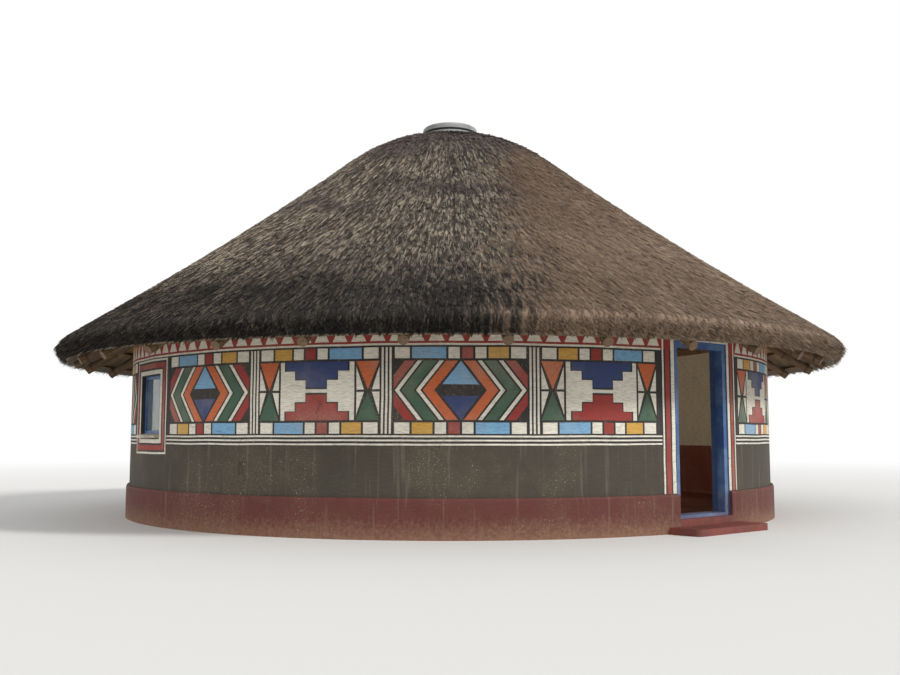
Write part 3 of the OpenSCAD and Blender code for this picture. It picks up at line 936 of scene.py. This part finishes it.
@dataclass
class Thatch:
    """The straw that covers the CAD rings: clumps on the slope, and butts on the cut eave."""

    sectors: int = 8
    slope_nodes: tuple[str, ...] = ("thatch_eave_course", "thatch_lower_coat", "thatch_upper_coat",
                                    "thatch_top_course")
    pitch: float = math.radians(33.0)
    spacing: float = 0.0335
    density: float = 760.0
    butt_density: float = 1500.0
    edge_r: float = 5.4
    course_width: float = 0.4509
    course_step: float = 0.0085
    straw_length: float = 0.14
    straw_width: float = 0.0115
    clump_kinds: int = 5
    clump_straws: int = 4
    lift: float = math.radians(4.0)
    seed: int = 11
    clumps: list[bpy.types.Object] = field(default_factory=list)

    def surface(self, name: str, keep: Callable[[Vector, Vector], bool]) -> bpy.types.Object:
        """Copies the faces of the CAD rings that straw grows from.

        Args:
            name: Name of the copy.
            keep: Says from a face's middle and normal whether it stays.

        Returns:
            An object with those faces, which is removed after use.
        """
        joined = bmesh.new()
        for node in self.slope_nodes:
            joined.from_mesh(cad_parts[node].data)
        bmesh.ops.remove_doubles(joined, verts=joined.verts, dist=1e-5)
        joined.normal_update()
        drop = [f for f in joined.faces if not keep(f.calc_center_median(), f.normal)]
        bmesh.ops.delete(joined, geom=drop, context="FACES")
        return put_in(name, as_mesh(name, joined))

    def clump(self, name: str, chance: random.Random) -> bpy.types.Object:
        """Makes one clump: straws side by side that run along -Y, their hidden ends at +Y.

        Args:
            name: The clump's name.
            chance: Where the straws' sizes are drawn from.

        Returns:
            The clump's object, which is removed after use.
        """
        made = bmesh.new()
        own = made.verts.layers.float.new("straw")
        tipped = Matrix.Rotation(math.radians(90), 4, "X") @ Matrix.Rotation(math.radians(90), 4, "Z")
        for index in range(self.clump_straws):
            across = (index - (self.clump_straws - 1) / 2 + chance.uniform(-0.25, 0.25)) * self.straw_width
            half = self.straw_width * chance.uniform(0.5, 0.72)
            long = self.straw_length * chance.uniform(0.7, 1.25)
            rise = half * chance.uniform(0.0, 0.8)
            straw = bmesh.ops.create_cone(made, cap_ends=True, segments=3, radius1=1.0, radius2=0.75,
                                          depth=1.0, matrix=tipped)["verts"]
            place = (Matrix.Translation((across, 0.35 * self.straw_length - long / 2, rise))
                     @ Matrix.Rotation(chance.uniform(-0.05, 0.05), 4, "Z")
                     @ Matrix.Diagonal((half, long, half * 0.6, 1.0)))
            bmesh.ops.transform(made, matrix=place, verts=straw)
            shade = chance.random()
            for vert in straw:
                vert[own] = shade
        made.normal_update()
        hidden = [f for f in made.faces if f.normal.z < -0.7 or f.normal.y > 0.7]
        bmesh.ops.delete(made, geom=hidden, context="FACES")
        mesh = as_mesh(name, made)
        across = mesh.attributes.new("across", "FLOAT", "POINT")
        for vert, value in zip(mesh.vertices, across.data):
            value.value = vert.co.x
        return bpy.data.objects.new(name, mesh)

    def clump_set(self) -> bpy.types.Collection:
        """Makes the handful of clumps that are scattered."""
        group = bpy.data.collections.new("thatch_clumps")
        chance = random.Random(self.seed)
        for index in range(self.clump_kinds):
            made = self.clump(f"clump_{index}", chance)
            group.objects.link(made)
            self.clumps.append(made)
        return group

    def scatter(self, source: bpy.types.Object, group: bpy.types.Collection, name: str, *, density: float,
                spacing: float, along_slope: bool, spread: tuple[float, float, float],
                scale: tuple[float, float]) -> bpy.types.Mesh:
        """Scatters clumps over a surface with Geometry Nodes and makes the result a mesh.

        Args:
            source: The surface's object; it is removed.
            group: The clumps.
            name: Name of the mesh.
            density: Most clumps per square metre.
            spacing: Least distance between clumps.
            along_slope: Whether clumps lie on the face, or else point out along the poles' pitch. Those that
                lie on it even out the steps of its courses, and are smaller near the edge.
            spread: Random tilt, roll and yaw, each way, in radians.
            scale: Least and greatest size.

        Returns:
            The mesh of all clumps, with a shade attribute for each clump.
        """
        tree = bpy.data.node_groups.new(name, "GeometryNodeTree")
        tree.interface.new_socket("Geometry", in_out="INPUT", socket_type="NodeSocketGeometry")
        tree.interface.new_socket("Geometry", in_out="OUTPUT", socket_type="NodeSocketGeometry")
        graph = Graph(tree)
        start, end = graph.node("NodeGroupInput"), graph.node("NodeGroupOutput")
        points = graph.node("GeometryNodeDistributePointsOnFaces", distribute_method="POISSON")
        graph.put(points.inputs["Mesh"], start.outputs[0])
        graph.put(points.inputs["Distance Min"], spacing)
        graph.put(points.inputs["Density Max"], density)
        graph.put(points.inputs["Seed"], self.seed)
        x, y, _ = graph.apart(graph.node("GeometryNodeInputPosition").outputs[0])
        turn, radius = graph.azimuth(x, y), graph.length(x, y)
        spots_at = points.outputs["Points"]
        if along_slope:
            out_x, out_y, out_z = graph.apart(points.outputs["Normal"])
            tilt = graph.minus(graph.math("ARCTAN2", graph.length(out_x, out_y), out_z), self.lift)
            along = graph.math("DIVIDE", graph.minus(self.edge_r, radius), self.course_width)
            moved = graph.node("GeometryNodeSetPosition")
            graph.put(moved.inputs["Geometry"], spots_at)
            step = graph.times(graph.math("FRACT", along), self.course_step)
            graph.put(moved.inputs["Offset"], graph.joined(0.0, 0.0, step))
            spots_at = moved.outputs[0]
            near_edge = graph.span(along, 0.12, 0.5, 0.55, 1.0)
        else:
            near_edge = 1.0
            tilt = graph.plus(self.pitch, 0.12)
        euler = graph.joined(*(graph.plus(self._random(graph, -wide, wide, index), base)
                               for index, (base, wide) in enumerate(zip((tilt, 0.0, turn), spread))))
        pieces = graph.node("GeometryNodeCollectionInfo")
        graph.put(pieces.inputs["Collection"], group)
        pieces.inputs["Separate Children"].default_value = True
        pieces.inputs["Reset Children"].default_value = True
        spots = graph.node("GeometryNodeInstanceOnPoints")
        graph.put(spots.inputs["Points"], spots_at)
        graph.put(spots.inputs["Instance"], pieces.outputs[0])
        spots.inputs["Pick Instance"].default_value = True
        which = graph.node("FunctionNodeRandomValue", data_type="INT")
        low, high = [s for s in which.inputs if s.type == "INT" and s.name in ("Min", "Max")]
        low.default_value, high.default_value = 0, len(self.clumps) - 1
        which.inputs["Seed"].default_value = self.seed + 7
        graph.put(spots.inputs["Instance Index"], [s for s in which.outputs if s.type == "INT"][0])
        graph.put(spots.inputs["Rotation"], euler)
        size = graph.joined(*(graph.times(self._random(graph, *scale, 10 + index), near_edge)
                              for index in range(3)))
        graph.put(spots.inputs["Scale"], size)
        shaded = graph.node("GeometryNodeStoreNamedAttribute", domain="INSTANCE", data_type="FLOAT")
        graph.put(shaded.inputs["Geometry"], spots.outputs[0])
        shaded.inputs["Name"].default_value = "shade"
        graph.put([s for s in shaded.inputs if s.name == "Value"][0], self._random(graph, 0.0, 1.0, 20))
        real = graph.node("GeometryNodeRealizeInstances")
        graph.put(real.inputs[0], shaded.outputs[0])
        graph.put(end.inputs[0], real.outputs[0])
        source.modifiers.new(name, "NODES").node_group = tree
        ready = source.evaluated_get(bpy.context.evaluated_depsgraph_get())
        mesh = bpy.data.meshes.new_from_object(ready)
        mesh.name = name
        bpy.data.objects.remove(source, do_unlink=True)
        return mesh

    def _random(self, graph: Graph, low: float, high: float, offset: int) -> Socket:
        """Gives a random number for each clump.

        Args:
            graph: The node graph.
            low: Least value.
            high: Greatest value.
            offset: Added to the seed.

        Returns:
            The number's socket.
        """
        made = graph.node("FunctionNodeRandomValue", data_type="FLOAT")
        least, most = [s for s in made.inputs if s.type == "VALUE" and s.name in ("Min", "Max")]
        least.default_value, most.default_value = low, high
        made.inputs["Seed"].default_value = self.seed + offset
        return [s for s in made.outputs if s.type == "VALUE"][0]

    def build(self) -> None:
        """Builds the straw in sectors and dresses the CAD rings under it."""
        for node in self.slope_nodes:
            dress(node, THATCH)
        dress("thatch_underlayer", INNER_THATCH)
        group = self.clump_set()
        sector = 2 * math.pi / self.sectors

        def azimuth(place: Vector) -> float:
            """Azimuth of a place, from 0 to a full turn."""
            return math.atan2(place.x, -place.y) % (2 * math.pi)

        for index in range(self.sectors):
            slope = self.surface(f"slope_{index}", lambda c, n: n.z > 0.45 and c.xy.length > 0.43
                                 and int(azimuth(c) / sector) == index)
            mesh = self.scatter(slope, group, f"thatch_straw_{index + 1}", density=self.density,
                                spacing=self.spacing, along_slope=True, spread=(0.05, 0.22, 0.09),
                                scale=(0.78, 1.2))
            add_piece(f"thatch_straw_{index + 1}", mesh, STRAW)
        for half, name in enumerate(("right", "left")):
            cut = self.surface(f"cut_{name}", lambda c, n: n.z < 0.25 and c.xy.length > 5.2
                               and n.xy.dot(c.xy.normalized()) > 0.3 and int(azimuth(c) / math.pi) == half)
            mesh = self.scatter(cut, group, f"thatch_butts_{name}", density=self.butt_density, spacing=0.02,
                                along_slope=False, spread=(0.12, 0.4, 0.12), scale=(0.4, 0.75))
            add_piece(f"thatch_butts_{name}", mesh, STRAW)
        for made in self.clumps:
            bpy.data.objects.remove(made, do_unlink=True)
        bpy.data.collections.remove(group)


@dataclass
class Panel:
    """A level stretch of wall that one motif fills, in metres along the face and over the ground."""

    start: float
    end: float
    low: float
    high: float

    @property
    def width(self) -> float:
        """Length along the face."""
        return self.end - self.start

    @property
    def height(self) -> float:
        """Height."""
        return self.high - self.low


@dataclass
class WallPainting:
    """Hand-painted pattern on the wall's outer face, laid out flat and then bent round the hut.

    Flat places are given as metres along the face from the middle of the doorway, towards +X, and metres up.
    The dark ground between shapes is the wall's own paint.
    """

    face_r: float = 4.45
    door_half: float = 0.48
    door_top: float = 2.10
    window_turn: float = math.radians(95.0)
    window_half: float = 0.33
    window_low: float = 1.03
    window_high: float = 1.78
    surround: float = 0.21
    surround_bands: tuple[tuple[Paint, float], ...] = ((Paint.WHITE, 0.05), (Paint.BRICK, 0.06),
                                                       (Paint.WHITE, 0.022))
    door_bands_low: float = 0.43
    line: float = 0.024
    low_lines: tuple[float, float, float] = (0.955, 0.997, 1.039)
    low_line: float = 0.018
    rows: tuple[float, float] = (1.075, 1.965)
    block_row: float = 0.115
    panel_gap: float = 0.075
    frieze: tuple[float, float] = (2.03, 2.255)
    frieze_lines: tuple[float, float] = (1.986, 2.267)
    frieze_line: float = 0.02
    frieze_tooth: float = 0.205
    panels_each: int = 4
    cell: float = 0.09
    thickness: float = 0.0016
    seed: int = 3
    meshes: dict[Paint, bmesh.types.BMesh] = field(default_factory=dict)

    def canvas(self, paint: Paint) -> bmesh.types.BMesh:
        """Gives the flat mesh that shapes of one colour go into."""
        return self.meshes.setdefault(paint, bmesh.new())

    def block(self, paint: Paint, start: float, end: float, low: float, high: float,
              cuts: Iterable[tuple[float, float, float, float]] = (), coat: int = 0) -> None:
        """Paints a rectangle, or what is left of one when slanted cuts are made.

        Args:
            paint: The colour.
            start: Its left edge.
            end: Its right edge.
            low: Its lower edge.
            high: Its upper edge.
            cuts: Each a point along and up, and a direction along and up: what lies on that side is cut off.
            coat: Number of coats of paint under this one.
        """
        if end - start < 0.004 or high - low < 0.004:
            return
        shape = bmesh.new()
        columns = max(1, math.ceil((end - start) / self.cell))
        rows = max(1, math.ceil((high - low) / (2 * self.cell)))
        bmesh.ops.create_grid(shape, x_segments=columns, y_segments=rows, size=0.5)
        bmesh.ops.transform(shape, verts=shape.verts,
                            matrix=Matrix.Translation(((start + end) / 2, (low + high) / 2, coat))
                            @ Matrix.Diagonal((end - start, high - low, 1, 1)))
        for along, up, towards, over in cuts:
            bmesh.ops.bisect_plane(shape, geom=shape.verts[:] + shape.edges[:] + shape.faces[:],
                                   plane_co=(along, up, 0), plane_no=(towards, over, 0), clear_outer=True,
                                   dist=1e-5)
        flat = as_mesh("shape", shape)
        self.canvas(paint).from_mesh(flat)
        bpy.data.meshes.remove(flat)

    def triangle(self, paint: Paint, start: float, end: float, low: float, high: float,
                 up: bool = True) -> None:
        """Paints a triangle that stands on its base, or hangs from it.

        Args:
            paint: The colour.
            start: Left end of the base.
            end: Right end of the base.
            low: Lower edge.
            high: Upper edge.
            up: Whether the point is at the top.
        """
        tall, half, middle = high - low, (end - start) / 2, (start + end) / 2
        point = high if up else low
        over = half if up else -half
        self.block(paint, start, end, low, high, ((middle, point, tall, over), (middle, point, -tall, over)))

    def steps(self, paint: Paint, middle: float, low: float, high: float, half: float, count: int, up: bool,
              coat: int) -> None:
        """Paints a stepped gable.

        Args:
            paint: The colour.
            middle: Its middle along the face.
            low: Lower edge.
            high: Upper edge.
            half: Half its widest width.
            count: Number of steps.
            up: Whether it narrows upwards.
            coat: Number of coats of paint under this one.
        """
        tall = (high - low) / count
        for index in range(count):
            wide = half * (count - index) / count
            bottom = low + index * tall if up else high - (index + 1) * tall
            self.block(paint, middle - wide, middle + wide, bottom, bottom + tall, coat=coat)

    def border_row(self, panel: Panel, low: float, high: float, flip: bool) -> None:
        """Paints a row of blocks along a panel's edge.

        Args:
            panel: The panel.
            low: Lower edge of the row.
            high: Upper edge.
            flip: Whether the order of colours is turned round.
        """
        shares = [(0.13, Paint.WHITE), (0.27, Paint.SKY), (0.10, Paint.WHITE), (0.10, Paint.BRICK),
                  (0.10, Paint.WHITE), (0.17, Paint.OCHRE), (0.13, Paint.WHITE)]
        if flip:
            shares.reverse()
        at = panel.start
        for share, paint in shares:
            wide = share * panel.width
            self.block(paint, at + self.line / 2, at + wide - self.line / 2, low, high)
            at += wide

    def gable_panel(self, panel: Panel) -> None:
        """Paints stepped gables that stand and hang, with leaning bars beside them."""
        line, row = self.line, self.block_row
        self.border_row(panel, panel.low, panel.low + row, False)
        self.border_row(panel, panel.high - row, panel.high, True)
        low, high = panel.low + row + line, panel.high - row - line
        middle, half, tall = (panel.start + panel.end) / 2, panel.width * 0.27, high - low
        self.block(Paint.WHITE, middle - half - 0.05, middle + half + 0.05, low, high)
        for up, paint in ((True, Paint.BRICK), (False, Paint.NAVY)):
            bottom, top = (low, low + tall * 0.47) if up else (high - tall * 0.47, high)
            self.steps(Paint.BLACK, middle, bottom, top, half, 3, up, 1)
            inset = line * 0.8
            self.steps(paint, middle, bottom if up else bottom + inset, top - inset if up else top,
                       half - inset, 3, up, 2)
        for side in (-1, 1):
            inner = middle + side * (half + 0.05 + line)
            outer = panel.end if side > 0 else panel.start
            left, right = sorted((inner, outer))
            self.triangle(Paint.GREEN, left, right, low, low + tall / 2 - line / 2, up=True)
            self.triangle(Paint.ORANGE, left, right, low + tall / 2 + line / 2, high, up=False)
            for start, end, slant in ((left, (left + right) / 2 - line, -1),
                                      ((left + right) / 2 + line, right, 1)):
                for bottom, top, up in ((low, low + tall / 2 - line / 2, True),
                                        (low + tall / 2 + line / 2, high, False)):
                    self.corner(Paint.WHITE, start, end, bottom, top, slant, up)

    def corner(self, paint: Paint, start: float, end: float, low: float, high: float, side: int,
               top: bool) -> None:
        """Paints the right triangle that is left beside a triangle's slanted edge.

        Args:
            paint: The colour.
            start: Left edge.
            end: Right edge.
            low: Lower edge.
            high: Upper edge.
            side: -1 where its upright edge is on the left, 1 on the right.
            top: Whether its level edge is at the top.
        """
        tall, wide = high - low, end - start
        slack = self.line * 0.8
        along = (start if side > 0 else end) + side * slack
        if top:
            self.block(paint, start, end, low, high, ((along, high, -side * tall, -wide),))
        else:
            self.block(paint, start, end, low, high, ((along, low, -side * tall, wide),))

    def bar_panel(self, panel: Panel) -> None:
        """Paints leaning bars that meet in the middle, between rows of blocks."""
        line, row = self.line, self.block_row
        self.border_row(panel, panel.low, panel.low + row, True)
        self.border_row(panel, panel.high - row, panel.high, False)
        low, high = panel.low + row + line, panel.high - row - line
        middle, lean = (panel.start + panel.end) / 2, 0.24
        order = (Paint.ORANGE, Paint.WHITE, Paint.GREEN, Paint.WHITE, Paint.BRICK)
        widths = (0.12, 0.045, 0.13, 0.045, 0.11)
        cut_left, cut_right = (panel.start, low, -1, 0), (panel.end, low, 1, 0)
        half_way = (low + high) / 2
        for side in (-1, 1):
            at = 0.03
            for paint, wide in zip(order, widths):
                start, end = middle + side * at, middle + side * (at + wide)
                left, right = sorted((start, end))
                for bottom, top, shift in ((low, half_way, side * lean), (half_way, high, -side * lean)):
                    foot = 0.0 if bottom == low else side * lean
                    self.slanted(paint, left + foot, right + foot, bottom, top, shift, (cut_left, cut_right))
                at += wide + line
        self.triangle(Paint.NAVY, middle - lean * 0.78, middle + lean * 0.78, low, half_way - 0.06, up=False)
        self.triangle(Paint.SKY, middle - lean * 0.78, middle + lean * 0.78, half_way + 0.06, high, up=True)

    def slanted(self, paint: Paint, start: float, end: float, low: float, high: float, lean: float,
                limits: Iterable[tuple[float, float, float, float]]) -> None:
        """Paints a bar that leans sideways and stops at the panel's ends.

        Args:
            paint: The colour.
            start: Left end at the bottom.
            end: Right end at the bottom.
            low: Lower edge.
            high: Upper edge.
            lean: How far the top lies to the right of the bottom.
            limits: Cuts at the panel's ends.
        """
        tall = high - low
        left, right = min(start, start + lean), max(end, end + lean)
        self.block(paint, left, right, low, high,
                   ((start, low, -tall, lean), (end, low, tall, -lean), *limits))

    def pilaster(self, middle: float, low: float, high: float) -> None:
        """Paints the upright lines between two panels."""
        for offset in (-0.042, 0.0, 0.042):
            self.block(Paint.WHITE, middle + offset - 0.011, middle + offset + 0.011, low, high)

    def bands(self, middle: float, half: float, low: float | None, high: float) -> None:
        """Paints the bands around an opening.

        Args:
            middle: The opening's middle.
            half: Half its width.
            low: Its lower edge, or None where the bands run down to the kerb.
            high: Its upper edge.
        """
        floor = self.door_bands_low if low is None else low
        reach = self.line / 2
        for paint, wide in self.surround_bands:
            inner, outer = half + reach, half + reach + wide
            bottom = floor if low is None else floor - reach - wide
            self.block(paint, middle - outer, middle - inner, bottom, high + reach + wide)
            self.block(paint, middle + inner, middle + outer, bottom, high + reach + wide)
            self.block(paint, middle - inner, middle + inner, high + reach, high + reach + wide)
            if low is not None:
                self.block(paint, middle - inner, middle + inner, bottom, bottom + wide)
            reach += wide + self.line

    def frieze_row(self, start: float, end: float) -> None:
        """Paints a stretch of the frieze, its two level lines and the triangles between them."""
        for bottom in self.frieze_lines:
            self.block(Paint.WHITE, start, end, bottom, bottom + self.frieze_line)
        low, high = self.frieze
        count = round((end - start) / self.frieze_tooth)
        wide = (end - start) / count
        for index in range(count):
            at = start + index * wide
            self.triangle(Paint.WHITE, at + 0.02, at + wide - 0.02, low, high - 0.055, up=True)
            if index < count - 1:
                self.triangle(Paint.OCHRE, at + wide / 2 + 0.035, at + wide * 1.5 - 0.035, low + 0.075, high,
                              up=False)

    def lay_out(self) -> None:
        """Lays out the whole pattern, flat."""
        edge, gap = self.surround, self.panel_gap
        window = self.window_turn * self.face_r
        back = math.pi * self.face_r
        low, high = self.rows
        for side in (1, -1):
            spans = ((self.door_half + edge, window - self.window_half - edge),
                     (window + self.window_half + edge, back))
            for number, (near, far) in enumerate(spans):
                step = (far - near) / self.panels_each
                for index in range(self.panels_each):
                    start, end = sorted((side * (near + index * step), side * (near + (index + 1) * step)))
                    panel = Panel(start + gap, end - gap, low, high)
                    (self.gable_panel if (index + number) % 2 == 0 else self.bar_panel)(panel)
                    if index:
                        self.pilaster(side * (near + index * step), low, high)
                for bottom in self.low_lines:
                    self.block(Paint.WHITE, *sorted((side * near, side * far)), bottom,
                               bottom + self.low_line)
            self.frieze_row(*sorted((side * (self.door_half + edge), side * back)))
            self.bands(side * window, self.window_half, self.window_low, self.window_high)
        self.pilaster(back, low, high)
        self.pilaster(-back, low, high)
        self.bands(0.0, self.door_half, None, self.door_top)

    def bend(self, shape: bmesh.types.BMesh) -> None:
        """Gives flat shapes their thickness, an unsteady hand's edges and the wall's curve.

        Args:
            shape: The flat mesh of one colour.
        """
        raised = bmesh.ops.extrude_face_region(shape, geom=shape.faces[:])
        tops = [v for v in raised["geom"] if isinstance(v, bmesh.types.BMVert)]
        bmesh.ops.translate(shape, verts=tops, vec=(0, 0, 0.5))
        for vert in shape.verts:
            along, up, over = vert.co
            drift = noise.noise_vector(Vector((along * 2.3, up * 2.9, 4.0)))
            along, up = along + 0.006 * drift.x, up + 0.005 * drift.y
            painted = self.thickness * (0.5 + over) if over % 1 > 0.25 else -self.thickness
            reach = self.face_r + painted
            turn = along / self.face_r
            vert.co = (reach * math.sin(turn), -reach * math.cos(turn), up)
        bmesh.ops.recalc_face_normals(shape, faces=shape.faces)

    def build(self) -> None:
        """Lays out the pattern and makes one piece of each colour."""
        self.lay_out()
        noise.seed_set(self.seed)
        for paint, shape in self.meshes.items():
            self.bend(shape)
            name = f"wall_pattern_{paint.name.lower()}"
            add_piece(name, as_mesh(name, shape), WallPaintFinish(paint))


@dataclass
class Lashings:
    """Twine that ties the lath rings to the roof poles, one lashing at each crossing."""

    pitch: float = math.radians(33.0)
    first_ring: float = 0.3303
    ring_step: float = 0.3005
    rings: int = 17
    apex: float = 5.3254
    lift: float = 0.0713
    pole_d: float = 0.110
    lath_d: float = 0.032
    width: float = 0.022
    thickness: float = 0.004
    slack: float = 0.002
    segments: int = 12
    poles: int = 32
    seed: int = 5

    def loop(self) -> bpy.types.Mesh:
        """Makes one lashing around the local Z axis, the lath's side towards +Y."""
        made = bmesh.new()
        around = self.pole_d / 2 + self.slack
        bmesh.ops.create_grid(made, x_segments=1, y_segments=1, size=0.5)
        bmesh.ops.transform(made, verts=made.verts,
                            matrix=Matrix.Translation((around + self.thickness / 2, 0, 0))
                            @ Matrix.Rotation(math.radians(90), 4, "X")
                            @ Matrix.Diagonal((self.thickness, self.width, 1, 1)))
        bmesh.ops.delete(made, geom=made.faces[:], context="FACES_ONLY")
        bmesh.ops.spin(made, geom=made.verts[:] + made.edges[:], cent=(0, 0, 0), axis=(0, 0, 1),
                       angle=2 * math.pi, steps=self.segments, use_merge=True, use_duplicate=False)
        tall = (self.pole_d + self.lath_d + 3 * self.slack) / (2 * around)
        bmesh.ops.transform(made, verts=made.verts,
                            matrix=Matrix.Translation((0, self.lath_d / 2, 0))
                            @ Matrix.Diagonal((1, tall, 1, 1)))
        bmesh.ops.recalc_face_normals(made, faces=made.faces)
        return as_mesh("lashing", made)

    def crossings(self) -> Iterable[tuple[float, float]]:
        """Gives azimuth and radius of each crossing of a pole and a ring."""
        count = self.poles
        for turns, start in ((range(0, count, 4), 0.33), (range(2, count, 4), 0.60),
                             (range(1, count, 2), 1.53)):
            for turn in turns:
                for ring in range(self.rings):
                    radius = self.first_ring + ring * self.ring_step
                    if radius >= start:
                        yield turn * math.tau / count, radius

    def build(self) -> None:
        """Ties every crossing and joins the lashings into one piece."""
        loop, made, chance = self.loop(), bmesh.new(), random.Random(self.seed)
        out, rise = math.cos(self.pitch), math.sin(self.pitch)
        for azimuth, radius in self.crossings():
            outward = Vector((math.sin(azimuth), -math.cos(azimuth), 0))
            normal = Vector((rise * outward.x, rise * outward.y, out))
            down = Vector((out * outward.x, out * outward.y, -rise))
            place = Vector((radius * outward.x, radius * outward.y,
                            self.apex - radius * math.tan(self.pitch) + self.lift / out))
            place -= normal * self.lift
            frame_at = Matrix((normal.cross(down), normal, down)).transposed().to_4x4()
            lean = Matrix.Rotation(chance.uniform(-0.16, 0.16), 4, "Y")
            copy = loop.copy()
            copy.transform(Matrix.Translation(place) @ frame_at @ lean)
            made.from_mesh(copy)
            bpy.data.meshes.remove(copy)
        bpy.data.meshes.remove(loop)
        add_piece("twine_lashings", as_mesh("twine_lashings", made), TWINE)


@dataclass
class Carcass:
    """The CAD pieces of wall, floor, doorway, windows, roof frame and cap, which keep their shapes."""

    finishes: dict[str, Finish] = field(default_factory=lambda: {
        "floor_slab": RED_CEMENT, "doorstep": RED_CEMENT, "wall_under_door": RED_CEMENT,
        "door_sill": BLUE_LEVEL, "door_head": BLUE_LEVEL, "door_jamb_right": BLUE_UPRIGHT,
        "door_jamb_left": BLUE_UPRIGHT, "window_frame_right": BLUE_UPRIGHT, "window_frame_left": BLUE_UPRIGHT,
        "window_glass_right": PANE, "window_glass_left": PANE, "window_sill_right": PALE_CEMENT,
        "window_sill_left": PALE_CEMENT, "wall_plate": SAWN, "king_post": POLES, "main_rafters": POLES,
        "second_rafters": POLES, "jack_rafters": POLES, "lath_rings": LATHS, "cap_apron": CAP_CEMENT,
        "cap_band": CAP_CEMENT, "cement_cap": CAP_CEMENT, "cap_lower_felt": FELT, "cap_upper_felt": FELT})

    def build(self) -> None:
        """Dresses every CAD node that the thatch doesn't."""
        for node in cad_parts:
            if node in self.finishes:
                dress(node, self.finishes[node])
            elif node.startswith("wall_"):
                dress(node, WALL)
        LOG.info("dressed %d CAD nodes", len(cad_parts))


@dataclass
class Stage:
    """Pale floor, soft light and the camera."""

    eye: float = 1.05
    distance: float = 14.7
    azimuth: float = math.radians(-40.0)
    lens: float = 40.0
    aim: tuple[float, float, float] = (0.0, 0.0, 2.5)
    floor_colour: Colour = srgb(222, 220, 216)
    fade: tuple[float, float] = (9.0, 34.0)
    room_power: float = 110.0

    def floor(self) -> None:
        """Makes the pale floor, which fades to white far away."""
        made = bmesh.new()
        bmesh.ops.create_circle(made, cap_ends=True, segments=96, radius=160.0)
        obj = put_in("studio_floor", as_mesh("studio_floor", made))
        material = bpy.data.materials.new("studio_floor")
        material.use_nodes = True
        graph = Graph(material.node_tree)
        shader = material.node_tree.nodes["Principled BSDF"]
        shader.inputs["Base Color"].default_value = (*self.floor_colour, 1.0)
        shader.inputs["Roughness"].default_value = 0.95
        rounds = Shared.place(graph, "round_coords", Point=graph.node("ShaderNodeTexCoord").outputs["Object"])
        white = graph.node("ShaderNodeEmission")
        both = graph.node("ShaderNodeMixShader")
        far = graph.span(rounds["Radius"], *self.fade)
        seen = graph.times(far, graph.node("ShaderNodeLightPath").outputs["Is Camera Ray"])
        for socket, value in zip(both.inputs, (seen, shader.outputs[0], white.outputs[0])):
            graph.put(socket, value)
        graph.put(material.node_tree.nodes["Material Output"].inputs["Surface"], both.outputs[0])
        obj.data.materials.append(material)

    def world(self) -> None:
        """Makes the plain sky: white to the camera, soft to the object."""
        world = bpy.data.worlds.new("studio")
        bpy.context.scene.world = world
        world.use_nodes = True
        graph = Graph(world.node_tree)
        world.node_tree.nodes.clear()
        out = graph.node("ShaderNodeOutputWorld")
        rays = graph.node("ShaderNodeLightPath")
        seen = graph.math("MAXIMUM", rays.outputs["Is Camera Ray"],
                          graph.math("MAXIMUM", rays.outputs["Is Glossy Ray"],
                                     rays.outputs["Is Transmission Ray"]))
        soft, white = graph.node("ShaderNodeBackground"), graph.node("ShaderNodeBackground")
        soft.inputs["Color"].default_value = (0.95, 0.97, 1.0, 1.0)
        soft.inputs["Strength"].default_value = 0.62
        white.inputs["Color"].default_value = (1.0, 1.0, 1.0, 1.0)
        white.inputs["Strength"].default_value = 1.0
        both = graph.node("ShaderNodeMixShader")
        for socket, value in zip(both.inputs, (seen, soft.outputs[0], white.outputs[0])):
            graph.put(socket, value)
        graph.put(out.inputs["Surface"], both.outputs[0])

    def lamp(self, name: str, azimuth: float, elevation: float, strength: float, angle: float) -> None:
        """Adds a soft sun.

        Args:
            name: Its name.
            azimuth: Where it stands, in degrees.
            elevation: Its height, in degrees.
            strength: Its strength.
            angle: Its width, in degrees, which softens its shadows.
        """
        data = bpy.data.lights.new(name, "SUN")
        data.energy, data.angle = strength, math.radians(angle)
        made = put_in(name, data)
        turn, rise = math.radians(azimuth), math.radians(elevation)
        place = Vector((math.cos(rise) * math.sin(turn), -math.cos(rise) * math.cos(turn), math.sin(rise)))
        made.rotation_euler = place.to_track_quat("Z", "Y").to_euler()
        made.location = 30 * place

    def room_light(self) -> None:
        """Adds a weak light in the room, so that its poles and walls can be made out."""
        data = bpy.data.lights.new("room", "POINT")
        data.energy, data.shadow_soft_size = self.room_power, 0.8
        made = put_in("room", data)
        made.location = (0.0, 0.0, 1.9)
        made.visible_camera = made.visible_glossy = made.visible_transmission = False

    def camera(self) -> None:
        """Adds the camera where the photographer stood, aimed so that the whole hut is in view."""
        data = bpy.data.cameras.new("camera")
        data.lens, data.sensor_width = self.lens, 36.0
        made = put_in("camera", data)
        made.location = (self.distance * math.sin(self.azimuth), -self.distance * math.cos(self.azimuth),
                         self.eye)
        made.rotation_euler = (Vector(self.aim) - made.location).to_track_quat("-Z", "Y").to_euler()
        bpy.context.scene.camera = made

    def build(self) -> None:
        """Builds floor, sky, lamps and camera."""
        self.floor()
        self.world()
        self.lamp("key", 22.0, 33.0, 2.3, 9.0)
        self.lamp("fill", -78.0, 26.0, 0.8, 30.0)
        self.room_light()
        self.camera()
        scene = bpy.context.scene
        scene.view_settings.view_transform = "Standard"


def main() -> None:
    """Builds the whole scene in order."""
    logging.basicConfig(level=logging.INFO, format="%(name)s: %(message)s")
    for plain in list(bpy.data.materials):
        bpy.data.materials.remove(plain)
    for part in (Stage(), Carcass(), WallPainting(), Lashings(), Thatch()):
        LOG.info("building %s", type(part).__name__)
        part.build()


if __name__ == "__main__":
    main()
